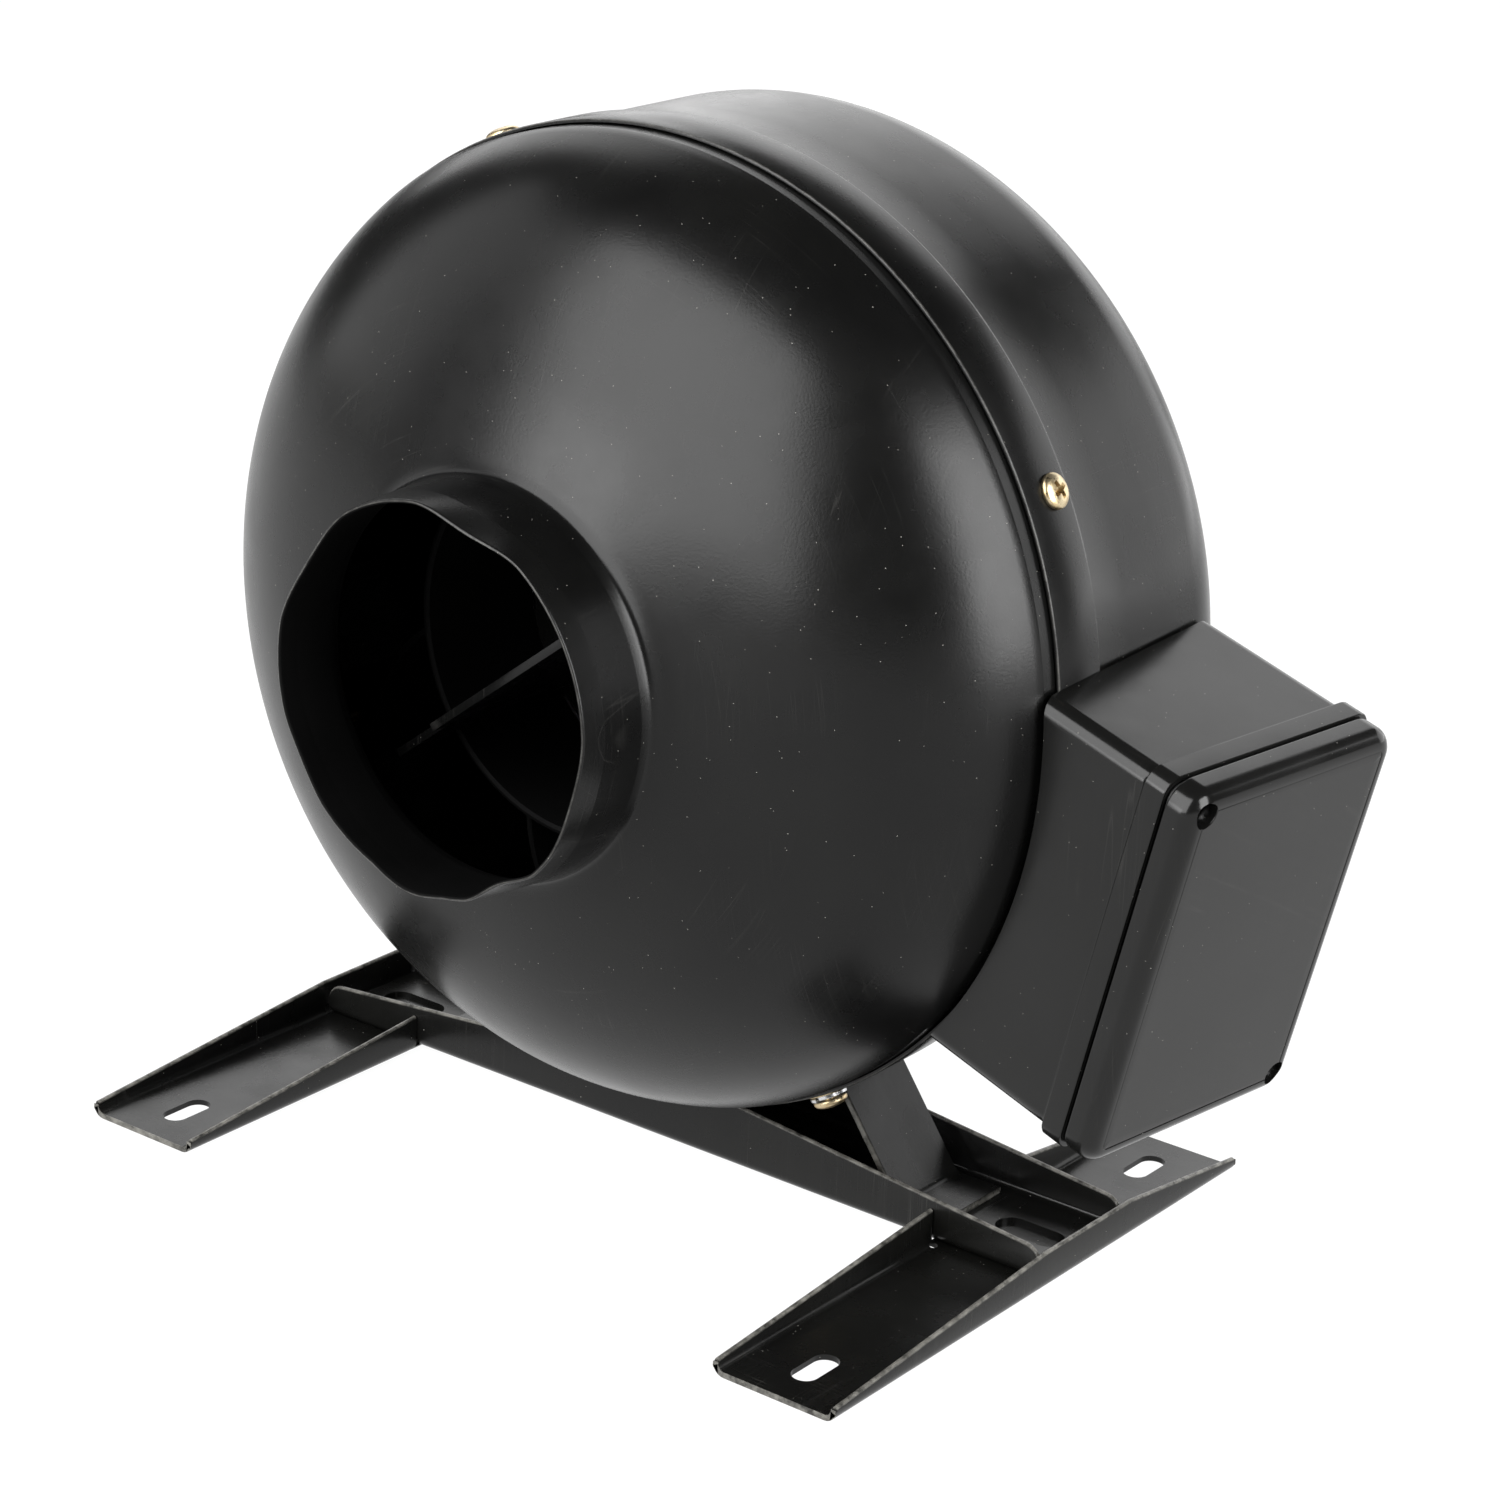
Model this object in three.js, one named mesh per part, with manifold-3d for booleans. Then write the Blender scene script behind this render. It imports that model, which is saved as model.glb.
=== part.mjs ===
import * as THREE from 'three';
import { mergeVertices } from 'three/addons/utils/BufferGeometryUtils.js';
import Module from 'manifold-3d';

const wasm = await Module();
wasm.setup();

// Inline duct fan on a steel stand. Millimetres and degrees, +Z up. While it is built, the fan's axis
// runs along Y at x = 0 above the floor z = 0: air enters at +Y and leaves at -Y. The last step moves
// the whole fan so that its origin is on the floor, at the middle of its outline.

// ---- driving dimensions ----

const gap = 0.3; // between pieces that rest on each other
const drillGap = 0.3; // hole radius minus shank radius
const turns = 40; // sides of the shells
const innerTurns = 28; // sides of the round pieces inside them
const smallTurns = 10; // sides of the fasteners
const shaftTurns = 32; // sides of the shaft and its bearings
const boreTurns = 20; // sides of round holes and bosses in the junction box
const past = 5; // how far a cutting tool runs beyond what it cuts
const bite = 0.8; // how far a screw's end stands out of its last sheet

const housing = {
  floorClearance: 22.8, // floor to the lowest point of the band
  radius: 126.2, // outside of the rear shell's plain cylinder
  sheet: 1,
  expansion: 1, // extra radius of the rear shell's band, which laps the front shell's skirt
  overlap: 18, // length of that band
  frontCrease: 32, // middle plane to the front dome's crease
  rearStraight: 30, // middle plane to where the rear dome starts
  edgeGap: 0.7 // between the band's free edge and the front dome
};
// A dome's outline is a cubic curve from the cylinder to the spigot's base. Angles are from the axis.
const frontDome = { depth: 55.5, startAngle: 17, startPull: 41, endAngle: 74, endPull: 25.4 };
const rearDome = { depth: 60, startAngle: 2, startPull: 30, endAngle: 60, endPull: 22 };
const spigot = { length: 23, rimRadius: 49, shoulder: 3.5, shoulderDrop: 1.1, neckDrop: 0.4, rimDrop: 0.8,
  taper: 7 };

const housingScrew = { count: 4, firstAngle: 26.5, setback: 12, headRadius: 4.5, headHeight: 2.4,
  shankRadius: 1.9, reach: 9.5 };
const earthStack = { washerRadius: 6, washerThick: 1, springRadius: 4.9, springThick: 1.3 };

const stand = {
  width: 248.6, // outside of one foot to outside of the other
  steel: 1.5,
  footWidth: 36.6,
  footLength: 178,
  footCentre: -15, // the feet reach further to the front
  tipHeight: 4,
  flangeHeight: 11, // of a foot's flanges beside the channel
  slotLength: 15,
  slotWidth: 7,
  slotSpread: 145 // between a foot's two slots
};
const channel = { centre: 3.2, width: 38.3, endHeight: 9.1, middleHeight: 20.3, slotLength: 20, slotWidth: 9,
  slotInset: 18 };
const saddle = { width: 26, steel: 2, cradleAngle: 24.3, legSpread: 74, tab: 14, screwAngle: 10 };
const saddleScrew = { headRadius: 4, headHeight: 2, shankRadius: 1.9, reach: 8 };

const spider = { steel: 2, front: -16, hubRadius: 48, armWidth: 24, tabLength: 14, tabSteel: 2 };
const strut = { angle: 37.7, sheet: 2, front: -75, halfSpan: 58, step: 5, stepAt: 38, rear: -57,
  lugLength: 12, lugWidth: 12, lugAt: 24, clear: 1 };
const guideVanes = { count: 6, ringRadius: 50.5, ringSheet: 2, reach: 91, sheet: 1.8, front: -56,
  setback: 6, sweep: 26 };

const motor = {
  baseLap: 4, // the base stands proud of the rotor's can
  baseThick: 2,
  tubeWall: 6,
  tubeLength: 36,
  airGap: 0.7, // stator to the rotor's can
  statorStart: 0,
  statorLength: 20,
  slotCount: 6,
  slotWidth: 6,
  slotDepth: 4,
  windingThick: 6,
  windingRound: 1.5,
  windingInside: 4, // from the bearing tube
  windingOutside: 2.8 // from the stator's rim
};
const bearing = { radius: 11, length: 7, runningGap: 0.06 };
const shaft = { radius: 4, front: -11.5, rear: 36 };
const can = { radius: 42, sheet: 1.5, front: -4, rear: 34.5, flangeWidth: 10, flangeFront: 2.5,
  round: 2, bossWall: 5, bossLength: 5 };
const impeller = { radius: 92, sheet: 1.2, width: 34, blades: 7, bladeSheet: 1.5, bladeSweep: 38,
  eyeClearance: 8, // can to the shroud's eye
  eyeRound: 8, // eye to the blades' inner edges
  bladeSetback: 2, neck: 8 };
const inletCone = { eyeGap: 4, sheet: 1.2, lap: 2, flangeShare: 0.2, pull: 12 };
const screwSmall = { headRadius: 2.8, headHeight: 2.1, shankRadius: 1.5 };
const motorScrew = { count: 3, fromRim: 12, firstAngle: 7.7 };
const rotorScrew = { count: 3, length: 4.5 };

const box = {
  depth: 72.4, // along the fan's axis
  height: 102.2,
  tilt: 14, // the lid looks this far down
  yaw: -7.6, // and this far towards the outlet
  angle: -16.95, // its middle, about the fan's axis
  standoff: -3.84, // its middle from the band
  along: -0.47,
  wall: 2.4,
  deep: -20, // box centre to the wall's deepest point, inside the housing's outline
  ledge: 35, // box centre to where the thicker rim starts
  parting: 42.4, // to the lid's edge
  face: 50.7, // to the lid's face
  rim: 1.4, // how far the rim and the lid stand proud of the walls
  seam: 1,
  lidRound: 3,
  corner: 4,
  post: 9,
  screwInset: 5.6
};
const lidScrew = { headRadius: 2.4, headHeight: 2, sink: 3.4, shankRadius: 1.4, length: 14 };
const gland = { offset: [16, -28], threadRadius: 7, hexRadius: 10.5, hexThick: 5, capRadius: 8.5,
  capLength: 12, capTaper: 4, bore: 4, nutRadius: 9.5, nutThick: 4 };
const grommet = { along: -3, radius: 5.5, flangeRadius: 7.5, flangeThick: 1.5, lift: 1, tail: 6, bore: 3.2 };
const boxScrew = { along: 10, apart: 84, headRadius: 3.6, headHeight: 2.2, lift: 1.6, shankRadius: 1.7,
  reach: 6 };
const terminal = { width: 16, length: 46, seat: 4, rise: 15, height: -27, ways: 4, entryWidth: 6,
  entryFrom: 5, entryTo: 1.5 };
const capacitor = { radius: 11, length: 46, height: 24, standoff: 20.5, clipWidth: 9, clipSheet: 1 };
const lead = { radius: 2.5, sides: 8, height: -9.4, start: 49 };

// ---- sizes that follow from them ----

const degree = Math.PI / 180;
const bandRadius = housing.radius + housing.expansion;
const axisHeight = bandRadius + housing.floorClearance;
const skirtRadius = bandRadius - housing.sheet - gap;
const joggle = -housing.frontCrease + housing.overlap;
const frontBase = -housing.frontCrease - frontDome.depth;
const rearBase = housing.rearStraight + rearDome.depth;
const spigotBase = spigot.rimRadius + spigot.shoulderDrop + spigot.neckDrop + spigot.rimDrop;
const screwPlane = -housing.frontCrease + housingScrew.setback;
const motorBaseRadius = can.radius + motor.baseLap;
const tubeRadius = bearing.radius + motor.tubeWall;
const statorRadius = can.radius - can.sheet - motor.airGap;
const flangeRadius = can.radius + can.flangeWidth;
const eyeRadius = can.radius + impeller.eyeClearance;
const bladeInner = eyeRadius + impeller.eyeRound;
const throat = eyeRadius - inletCone.eyeGap;
const motorScrewCircle = motorBaseRadius - motorScrew.fromRim;
const rotorScrewCircle = can.radius + can.flangeWidth / 2;
const baseFront = spider.front + spider.steel;
const baseRear = baseFront + motor.baseThick;
const tubeRear = baseRear + motor.tubeLength;
const plateFront = can.flangeFront + can.sheet;
const bladeFront = plateFront + impeller.sheet;
const bladeRear = bladeFront + impeller.width;
const neckRear = bladeRear + impeller.sheet / 2 + impeller.neck;

const colours = {
  powderCoat: new THREE.MeshStandardMaterial({ color: 0x1b1c1c, roughness: 0.5, metalness: 0.1 }),
  standPaint: new THREE.MeshStandardMaterial({ color: 0x121313, roughness: 0.35, metalness: 0.2 }),
  boxPlastic: new THREE.MeshStandardMaterial({ color: 0x262726, roughness: 0.25, metalness: 0 }),
  yellowZinc: new THREE.MeshStandardMaterial({ color: 0xb59a5e, roughness: 0.35, metalness: 0.9 }),
  brightZinc: new THREE.MeshStandardMaterial({ color: 0xb9bcc0, roughness: 0.3, metalness: 0.9 }),
  galvanised: new THREE.MeshStandardMaterial({ color: 0x8d9296, roughness: 0.45, metalness: 0.8 }),
  steel: new THREE.MeshStandardMaterial({ color: 0xa3a6aa, roughness: 0.3, metalness: 0.95 }),
  lamination: new THREE.MeshStandardMaterial({ color: 0x55585c, roughness: 0.55, metalness: 0.7 }),
  copper: new THREE.MeshStandardMaterial({ color: 0xa2562d, roughness: 0.4, metalness: 0.8 }),
  rubber: new THREE.MeshStandardMaterial({ color: 0x161616, roughness: 0.8, metalness: 0 }),
  palePlastic: new THREE.MeshStandardMaterial({ color: 0xd9d6cc, roughness: 0.5, metalness: 0 })
};

// ---- shapes ----

const fan = new THREE.Group();

function point(x, y) {
  return new THREE.Vector2(x, y);
}

function addPiece(name, geometry, material, frame) {
  const mesh = new THREE.Mesh(geometry, material);
  mesh.name = name;
  if (frame) mesh.applyMatrix4(frame);
  fan.add(mesh);
}

// A closed geometry as a solid for joining and cutting.
function toSolid(geometry) {
  const bare = geometry.index ? geometry.toNonIndexed() : geometry.clone();
  bare.deleteAttribute('normal');
  bare.deleteAttribute('uv');
  const merged = mergeVertices(bare, 1e-4);
  const index = merged.index.array;
  const corners = [];
  for (let i = 0; i < index.length; i += 3) {
    const [a, b, c] = [index[i], index[i + 1], index[i + 2]];
    if (a !== b && b !== c && c !== a) corners.push(a, b, c);
  }
  const mesh = new wasm.Mesh({
    numProp: 3,
    vertProperties: merged.attributes.position.array,
    triVerts: new Uint32Array(corners)
  });
  return new wasm.Manifold(mesh);
}

function toGeometry(solid) {
  const mesh = solid.getMesh();
  const geometry = new THREE.BufferGeometry();
  geometry.setAttribute('position', new THREE.BufferAttribute(mesh.vertProperties, 3));
  geometry.setIndex(new THREE.BufferAttribute(mesh.triVerts, 1));
  geometry.computeVertexNormals();
  return geometry;
}

function cut(geometry, tools) {
  return toGeometry(tools.reduce((solid, tool) => solid.subtract(toSolid(tool)), toSolid(geometry)));
}

function join(geometries) {
  return toGeometry(geometries.map(toSolid).reduce((all, solid) => all.add(solid)));
}

// Turns an outline of (radius, distance along the axis) about Y. The outline closes on itself, or
// starts and ends on the axis.
function turned(outline, sides = innerTurns) {
  const points = outline.slice();
  const closed = points[0].x > 0;
  const ring = closed ? points : [...points, point(0, points[0].y)];
  if (THREE.ShapeUtils.area(ring) < 0) points.reverse();
  if (closed) points.push(points[0].clone());
  return new THREE.LatheGeometry(points, sides);
}

function disc(radius, from, to, sides = smallTurns) {
  return turned([point(0, from), point(radius, from), point(radius, to), point(0, to)], sides);
}

function ring(inner, outer, from, to, sides = innerTurns) {
  return turned([point(inner, from), point(outer, from), point(outer, to), point(inner, to)], sides);
}

function shapeOf(points, holes = []) {
  const shape = new THREE.Shape(points);
  shape.holes.push(...holes);
  return shape;
}

function extruded(shape, depth, roundSteps = 4) {
  return new THREE.ExtrudeGeometry(shape, { depth, bevelEnabled: false, curveSegments: roundSteps });
}

// A shape of (x, z) pushed along Y.
function alongY(shape, from, to) {
  return extruded(shape, to - from).rotateX(Math.PI / 2).translate(0, to, 0);
}

// A shape of (y, z) pushed along X.
function alongX(shape, from, to) {
  const turn = new THREE.Matrix4().makeBasis(
    new THREE.Vector3(0, 1, 0), new THREE.Vector3(0, 0, 1), new THREE.Vector3(1, 0, 0));
  return extruded(shape, to - from).applyMatrix4(turn).translate(from, 0, 0);
}

function block(from, to) {
  const size = to.map((value, i) => value - from[i]);
  const centre = to.map((value, i) => (value + from[i]) / 2);
  return new THREE.BoxGeometry(...size).translate(...centre);
}

function roundedShape(Kind, width, height, radius) {
  const [x, y] = [width / 2 - radius, height / 2 - radius];
  return new Kind()
    .absarc(x, -y, radius, -Math.PI / 2, 0)
    .absarc(x, y, radius, 0, Math.PI / 2)
    .absarc(-x, y, radius, Math.PI / 2, Math.PI)
    .absarc(-x, -y, radius, Math.PI, Math.PI * 1.5);
}

// An upright slot tool with round ends.
function slotTool(x, y, lengthX, lengthY, top) {
  const shape = roundedShape(THREE.Shape, lengthX, lengthY, Math.min(lengthX, lengthY) / 2);
  return extruded(shape, top + 2).translate(x, y, -1);
}

function hexagon(radius) {
  return shapeOf([...Array(6).keys()].map((i) =>
    point(radius * Math.cos(i * 60 * degree), radius * Math.sin(i * 60 * degree))));
}

// The outline of bent sheet: a path with half the sheet's thickness laid off to each side.
function sheetOutline(path, thickness) {
  const normals = path.map((p, i) => {
    const before = p.clone().sub(path[Math.max(i - 1, 0)]).normalize();
    const after = path[Math.min(i + 1, path.length - 1)].clone().sub(p).normalize();
    const along = before.clone().add(after).normalize();
    const side = before.lengthSq() && after.lengthSq() ? after : along;
    const normal = point(-along.y, along.x);
    return normal.divideScalar(normal.dot(point(-side.y, side.x)));
  });
  const offset = (distance) => path.map((p, i) => p.clone().addScaledVector(normals[i], distance));
  return [...offset(thickness / 2), ...offset(-thickness / 2).reverse()];
}

// Local Y points away from the fan's axis, at an angle from +X towards +Z.
function radialFrame(angle, y) {
  return new THREE.Matrix4().makeTranslation(0, y, axisHeight)
    .multiply(new THREE.Matrix4().makeRotationY(-angle * degree))
    .multiply(new THREE.Matrix4().makeRotationZ(-Math.PI / 2));
}

// Local X points away from the fan's axis and local Y stays along it.
function sectorFrame(angle) {
  return new THREE.Matrix4().makeTranslation(0, 0, axisHeight)
    .multiply(new THREE.Matrix4().makeRotationY(-angle * degree));
}

const axisFrame = sectorFrame(0);

// A screw along local Y: its pan head stands on `seat`, its shank runs down to `end`.
function panScrew(screw, seat, end) {
  const { headRadius, headHeight, shankRadius } = screw;
  return turned([
    point(0, end),
    point(shankRadius, end),
    point(shankRadius, seat),
    point(headRadius, seat),
    point(headRadius * 0.8, seat + headHeight),
    point(0, seat + headHeight)
  ], smallTurns);
}

function drill(screw, from, to) {
  return disc(screw.shankRadius + drillGap, from, to);
}

// ---- housing ----

// Outline points of a dome, as (radius, distance from the middle plane), from cylinder to spigot.
function domeCurve(dome, startRadius, start) {
  const end = start + dome.depth;
  const slope = (angle) => point(-Math.sin(angle * degree), Math.cos(angle * degree));
  const first = point(startRadius, start);
  const last = point(spigotBase, end);
  return new THREE.CubicBezierCurve(
    first,
    first.clone().addScaledVector(slope(dome.startAngle), dome.startPull),
    last.clone().addScaledVector(slope(dome.endAngle), -dome.endPull),
    last);
}

function inset(curve, share, distance) {
  const tangent = curve.getTangent(share);
  return curve.getPoint(share).add(point(-tangent.y, tangent.x).multiplyScalar(distance));
}

const domeSteps = 6;
const domeShares = [...Array(domeSteps + 1).keys()].map((i) => i / domeSteps);

// The sheet's outer and inner points from a dome's start to the spigot's rim.
function domeAndSpigot(dome, startRadius, start) {
  const curve = domeCurve(dome, startRadius, start);
  const base = start + dome.depth;
  const { shoulder, shoulderDrop, neckDrop, taper, rimRadius, length } = spigot;
  const neck = [
    point(spigotBase - shoulderDrop, base + shoulder),
    point(spigotBase - shoulderDrop - neckDrop, base + length - taper),
    point(rimRadius, base + length)
  ];
  const outer = [...domeShares.map((share) => curve.getPoint(share)), ...neck];
  const inner = [
    ...domeShares.slice(1, -1).map((share) => inset(curve, share, housing.sheet)),
    point(spigotBase - housing.sheet - spigot.neckDrop, base),
    ...neck.map((p) => p.clone().sub(point(housing.sheet, 0)))
  ];
  return { curve, outer, inner };
}

function flipped(points) {
  return points.map((p) => point(p.x, -p.y));
}

const screwAngles = [...Array(housingScrew.count).keys()].map(
  (i) => housingScrew.firstAngle + (i * 360) / housingScrew.count);
const screwHoles = screwAngles.map((angle) =>
  drill(housingScrew, bandRadius - housingScrew.reach, bandRadius + past)
    .applyMatrix4(radialFrame(angle, screwPlane)));

const boxMiddle = new THREE.Vector3(bandRadius + box.standoff, box.along, 0)
  .applyMatrix4(new THREE.Matrix4().makeRotationY(-box.angle * degree))
  .add(new THREE.Vector3(0, 0, axisHeight));
const boxFrame = new THREE.Matrix4().setPosition(boxMiddle)
  .multiply(new THREE.Matrix4().makeRotationZ(box.yaw * degree))
  .multiply(new THREE.Matrix4().makeRotationY(box.tilt * degree));

// Local Y points out of the box's lid, at a place on the box's back given along and up.
function boxwardFrame(along, up) {
  return boxFrame.clone()
    .multiply(new THREE.Matrix4().makeTranslation(0, along, up))
    .multiply(new THREE.Matrix4().makeRotationZ(-Math.PI / 2));
}

const grommetFrame = boxwardFrame(grommet.along, 0);
const boxScrewFrames = [-0.5, 0.5].map((side) => boxwardFrame(boxScrew.along, side * boxScrew.apart));
const boxDrill = box.face * 0.8; // how far these holes reach to both sides of the box's middle
const boxHoles = [
  disc(grommet.radius + drillGap, -boxDrill, boxDrill, boreTurns).applyMatrix4(grommetFrame),
  ...boxScrewFrames.map((frame) => drill(boxScrew, -boxDrill, box.face).applyMatrix4(frame))
];
const saddleAngles = [-1, 1].map((side) => -90 + side * saddle.screwAngle);
const saddleHoles = saddleAngles.map((angle) =>
  drill(saddleScrew, housing.radius - past, housing.radius + past)
    .applyMatrix4(radialFrame(angle, channel.centre)));
const rotorScrewFrames = [...Array(rotorScrew.count).keys()].map(
  (i) => sectorFrame(90 + (i * 360) / rotorScrew.count));

function makeFrontShell() {
  const start = housing.frontCrease;
  const { outer, inner } = domeAndSpigot(frontDome, bandRadius, start);
  const skirtEnd = -joggle + 1.5;
  const skirtInner = skirtRadius - housing.sheet;
  const outline = [
    point(skirtRadius, skirtEnd),
    point(skirtRadius, start),
    ...outer,
    ...inner.reverse(),
    point(skirtInner, start + housing.sheet * 1.3),
    point(skirtInner, skirtEnd)
  ];
  const geometry = turned(flipped(outline), turns).applyMatrix4(axisFrame);
  addPiece('front_shell', cut(geometry, screwHoles), colours.powderCoat);
}

function makeRearShell() {
  const { outer, inner } = domeAndSpigot(rearDome, housing.radius, housing.rearStraight);
  const edge = -housing.frontCrease + housing.edgeGap;
  const thin = (points) => points.map((p) => p.clone().sub(point(housing.sheet, 0)));
  const band = [point(bandRadius, edge), point(bandRadius, joggle), point(housing.radius, joggle + 1)];
  const bandInside = [...thin(band), point(housing.radius - housing.sheet, housing.rearStraight)];
  const outline = [...band, ...outer, ...inner.reverse(), ...bandInside.reverse()];
  const geometry = turned(outline, turns).applyMatrix4(axisFrame);
  addPiece('rear_shell', cut(geometry, [...screwHoles, ...boxHoles, ...saddleHoles]), colours.powderCoat);
}

function makeHousingScrews() {
  const { washerRadius, washerThick, springRadius, springThick } = earthStack;
  const lowest = screwAngles.indexOf(Math.max(...screwAngles));
  const inner = housingScrew.shankRadius + drillGap;
  screwAngles.forEach((angle, i) => {
    const frame = radialFrame(angle, screwPlane);
    const surface = bandRadius + gap;
    const springSeat = surface + washerThick + gap;
    const seat = i === lowest ? springSeat + springThick + gap : surface;
    const screw = panScrew(housingScrew, seat, bandRadius - housingScrew.reach);
    addPiece(`housing_screw_${i + 1}`, screw, colours.yellowZinc, frame);
    if (i !== lowest) return;
    const washer = ring(inner, washerRadius, surface, surface + washerThick, smallTurns);
    const spring = ring(inner, springRadius, springSeat, springSeat + springThick, smallTurns);
    addPiece('earth_washer', washer, colours.yellowZinc, frame);
    addPiece('earth_spring_washer', spring, colours.brightZinc, frame);
  });
}

// ---- stand ----

// A foot is a channel whose walls fall away to both tips. Its inner wall is open where the cross channel
// comes in over its floor.
function makeFoot(name, side) {
  const { steel, footWidth, footLength, footCentre, tipHeight, flangeHeight } = stand;
  const outerX = (side * stand.width) / 2;
  const innerX = outerX - side * footWidth;
  const [low, high] = [Math.min(outerX, innerX), Math.max(outerX, innerX)];
  const ends = [-0.5, 0.5].map((end) => footCentre + end * footLength);
  const kinks = [-0.5, 0.5].map((end) => channel.centre + end * channel.width);
  const falls = ends.map((end, i) => {
    const way = Math.sign(end - kinks[i]);
    const drop = ((flangeHeight - tipHeight) * past) / Math.abs(end - kinks[i]);
    const outline = [
      point(kinks[i], flangeHeight), point(end + way * past, tipHeight - drop),
      point(end + way * past, flangeHeight + past), point(kinks[i], flangeHeight + past)
    ];
    return alongX(shapeOf(way > 0 ? outline : outline.reverse()), low - past, high + past);
  });
  const inner = [innerX - side * past, innerX + side * steel * 2].sort((a, b) => a - b);
  const notch = block(
    [inner[0], kinks[0] - gap, steel], [inner[1], kinks[1] + gap, flangeHeight + past]);
  const trough = block(
    [low + steel, ends[0] - past, steel], [high - steel, ends[1] + past, flangeHeight + past]);
  const slots = [-0.5, 0.5].map((end) => slotTool(
    (outerX + innerX) / 2, footCentre + end * stand.slotSpread, stand.slotWidth, stand.slotLength, steel));
  const body = block([low, ends[0], 0], [high, ends[1], flangeHeight]);
  addPiece(name, cut(body, [trough, notch, ...falls, ...slots]), colours.standPaint);
}

function makeChannel() {
  const { steel } = stand;
  const half = stand.width / 2 - steel - gap;
  const [front, back] = [-0.5, 0.5].map((end) => channel.centre + end * channel.width);
  const bottom = steel;
  const side = shapeOf([
    point(-half, bottom), point(half, bottom), point(half, bottom + channel.endHeight),
    point(0, bottom + channel.middleHeight), point(-half, bottom + channel.endHeight)
  ]);
  const body = join([
    block([-half, front, bottom], [half, back, bottom + steel]),
    alongY(side, front, front + steel),
    alongY(side, back - steel, back)
  ]);
  const slots = [-1, 1].map((end) => slotTool(
    end * (stand.width / 2 - channel.slotInset), channel.centre, channel.slotLength, channel.slotWidth,
    bottom + steel));
  addPiece('cross_channel', cut(body, slots), colours.standPaint);
}

// A strap that cradles the rear shell and stands on the channel's floor.
function makeSaddle() {
  const radius = housing.radius + gap + saddle.steel / 2;
  const seat = stand.steel * 2 + saddle.steel / 2;
  const steps = 12;
  const arc = [...Array(steps + 1).keys()].map((i) => {
    const angle = (-90 + saddle.cradleAngle * (1 - (2 * i) / steps)) * degree;
    return point(radius * Math.cos(angle), axisHeight + radius * Math.sin(angle));
  });
  const leg = (end) => [saddle.legSpread, saddle.legSpread + saddle.tab].map((x) => point(end * x, seat));
  const path = [...leg(1).reverse(), ...arc, ...leg(-1)];
  const strap = alongY(
    shapeOf(sheetOutline(path, saddle.steel)),
    channel.centre - saddle.width / 2, channel.centre + saddle.width / 2);
  addPiece('saddle_bracket', cut(strap, saddleHoles), colours.standPaint);
  saddleAngles.forEach((angle, i) => {
    const head = housing.radius + saddle.steel + gap * 2;
    const screw = panScrew(saddleScrew, head, housing.radius - saddleScrew.reach);
    addPiece(`saddle_screw_${i + 1}`, screw, colours.brightZinc, radialFrame(angle, channel.centre));
  });
}

// ---- motor carrier and guide vanes ----

const strutScrewPlaces = [-1, 1].map((side) => [side * strut.lugAt, strut.sheet / 2 + strut.lugWidth / 2]);

// Holes along Y for the screws through the spider and the motor's base.
function carrierHoles(from, to) {
  const holes = [...Array(motorScrew.count).keys()].map((i) =>
    drill(screwSmall, from, to).translate(motorScrewCircle, 0, 0)
      .applyMatrix4(sectorFrame(motorScrew.firstAngle + (i * 360) / motorScrew.count)));
  const lugHoles = strutScrewPlaces.map(([x, z]) =>
    drill(screwSmall, from, to).translate(x, 0, z).applyMatrix4(sectorFrame(strut.angle)));
  return [...holes, ...lugHoles];
}

function makeSpider() {
  const { front, steel, hubRadius, armWidth, tabLength, tabSteel } = spider;
  const tabOuter = skirtRadius - housing.sheet - gap;
  const arms = screwAngles.map((angle) =>
    block([hubRadius / 2, front, -armWidth / 2], [tabOuter - tabSteel / 2, front + steel, armWidth / 2])
      .applyMatrix4(sectorFrame(angle)));
  const tabRing = toSolid(ring(tabOuter - tabSteel, tabOuter, front - tabLength, front + steel, turns)
    .applyMatrix4(axisFrame));
  const tabs = screwAngles.map((angle) => toGeometry(tabRing.intersect(toSolid(
    block([hubRadius, front - tabLength, -armWidth / 2], [tabOuter + past, front + steel, armWidth / 2])
      .applyMatrix4(sectorFrame(angle))))));
  const hub = disc(hubRadius, front, front + steel, innerTurns).applyMatrix4(axisFrame);
  const body = join([hub, ...arms, ...tabs]);
  const holes = [...carrierHoles(front - past, front + past), ...screwHoles];
  addPiece('motor_spider', cut(body, holes), colours.standPaint);
}

function makeStrut() {
  const { front, rear, halfSpan, step, stepAt, sheet, lugAt, lugLength, lugWidth } = strut;
  const seat = spider.front;
  const inner = guideVanes.ringRadius - guideVanes.ringSheet - strut.clear;
  const half = [
    point(inner, seat), point(inner, rear), point(halfSpan, rear), point(halfSpan, front + step),
    point(stepAt, front + step), point(stepAt, front)
  ];
  const outline = [...half, ...half.map((p) => point(-p.x, p.y)).reverse()];
  const plate = extruded(shapeOf(outline), sheet).translate(0, 0, -sheet / 2);
  const lugs = [-1, 1].map((side) => block(
    [side * lugAt - lugLength / 2, seat - sheet, 0],
    [side * lugAt + lugLength / 2, seat, sheet / 2 + lugWidth]));
  const holes = strutScrewPlaces.map(
    ([x, z]) => drill(screwSmall, seat - past, seat + past).translate(x, 0, z));
  const frame = sectorFrame(strut.angle);
  addPiece('outlet_strut', cut(join([plate, ...lugs]), holes), colours.standPaint, frame);
  strutScrewPlaces.forEach(([x, z], i) => {
    const screw = panScrew(screwSmall, 0, -spider.steel - motor.baseThick - sheet + bite).rotateX(Math.PI);
    screw.translate(x, seat - sheet, z);
    addPiece(`strut_screw_${i + 1}`, screw, colours.brightZinc, frame);
  });
}

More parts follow.
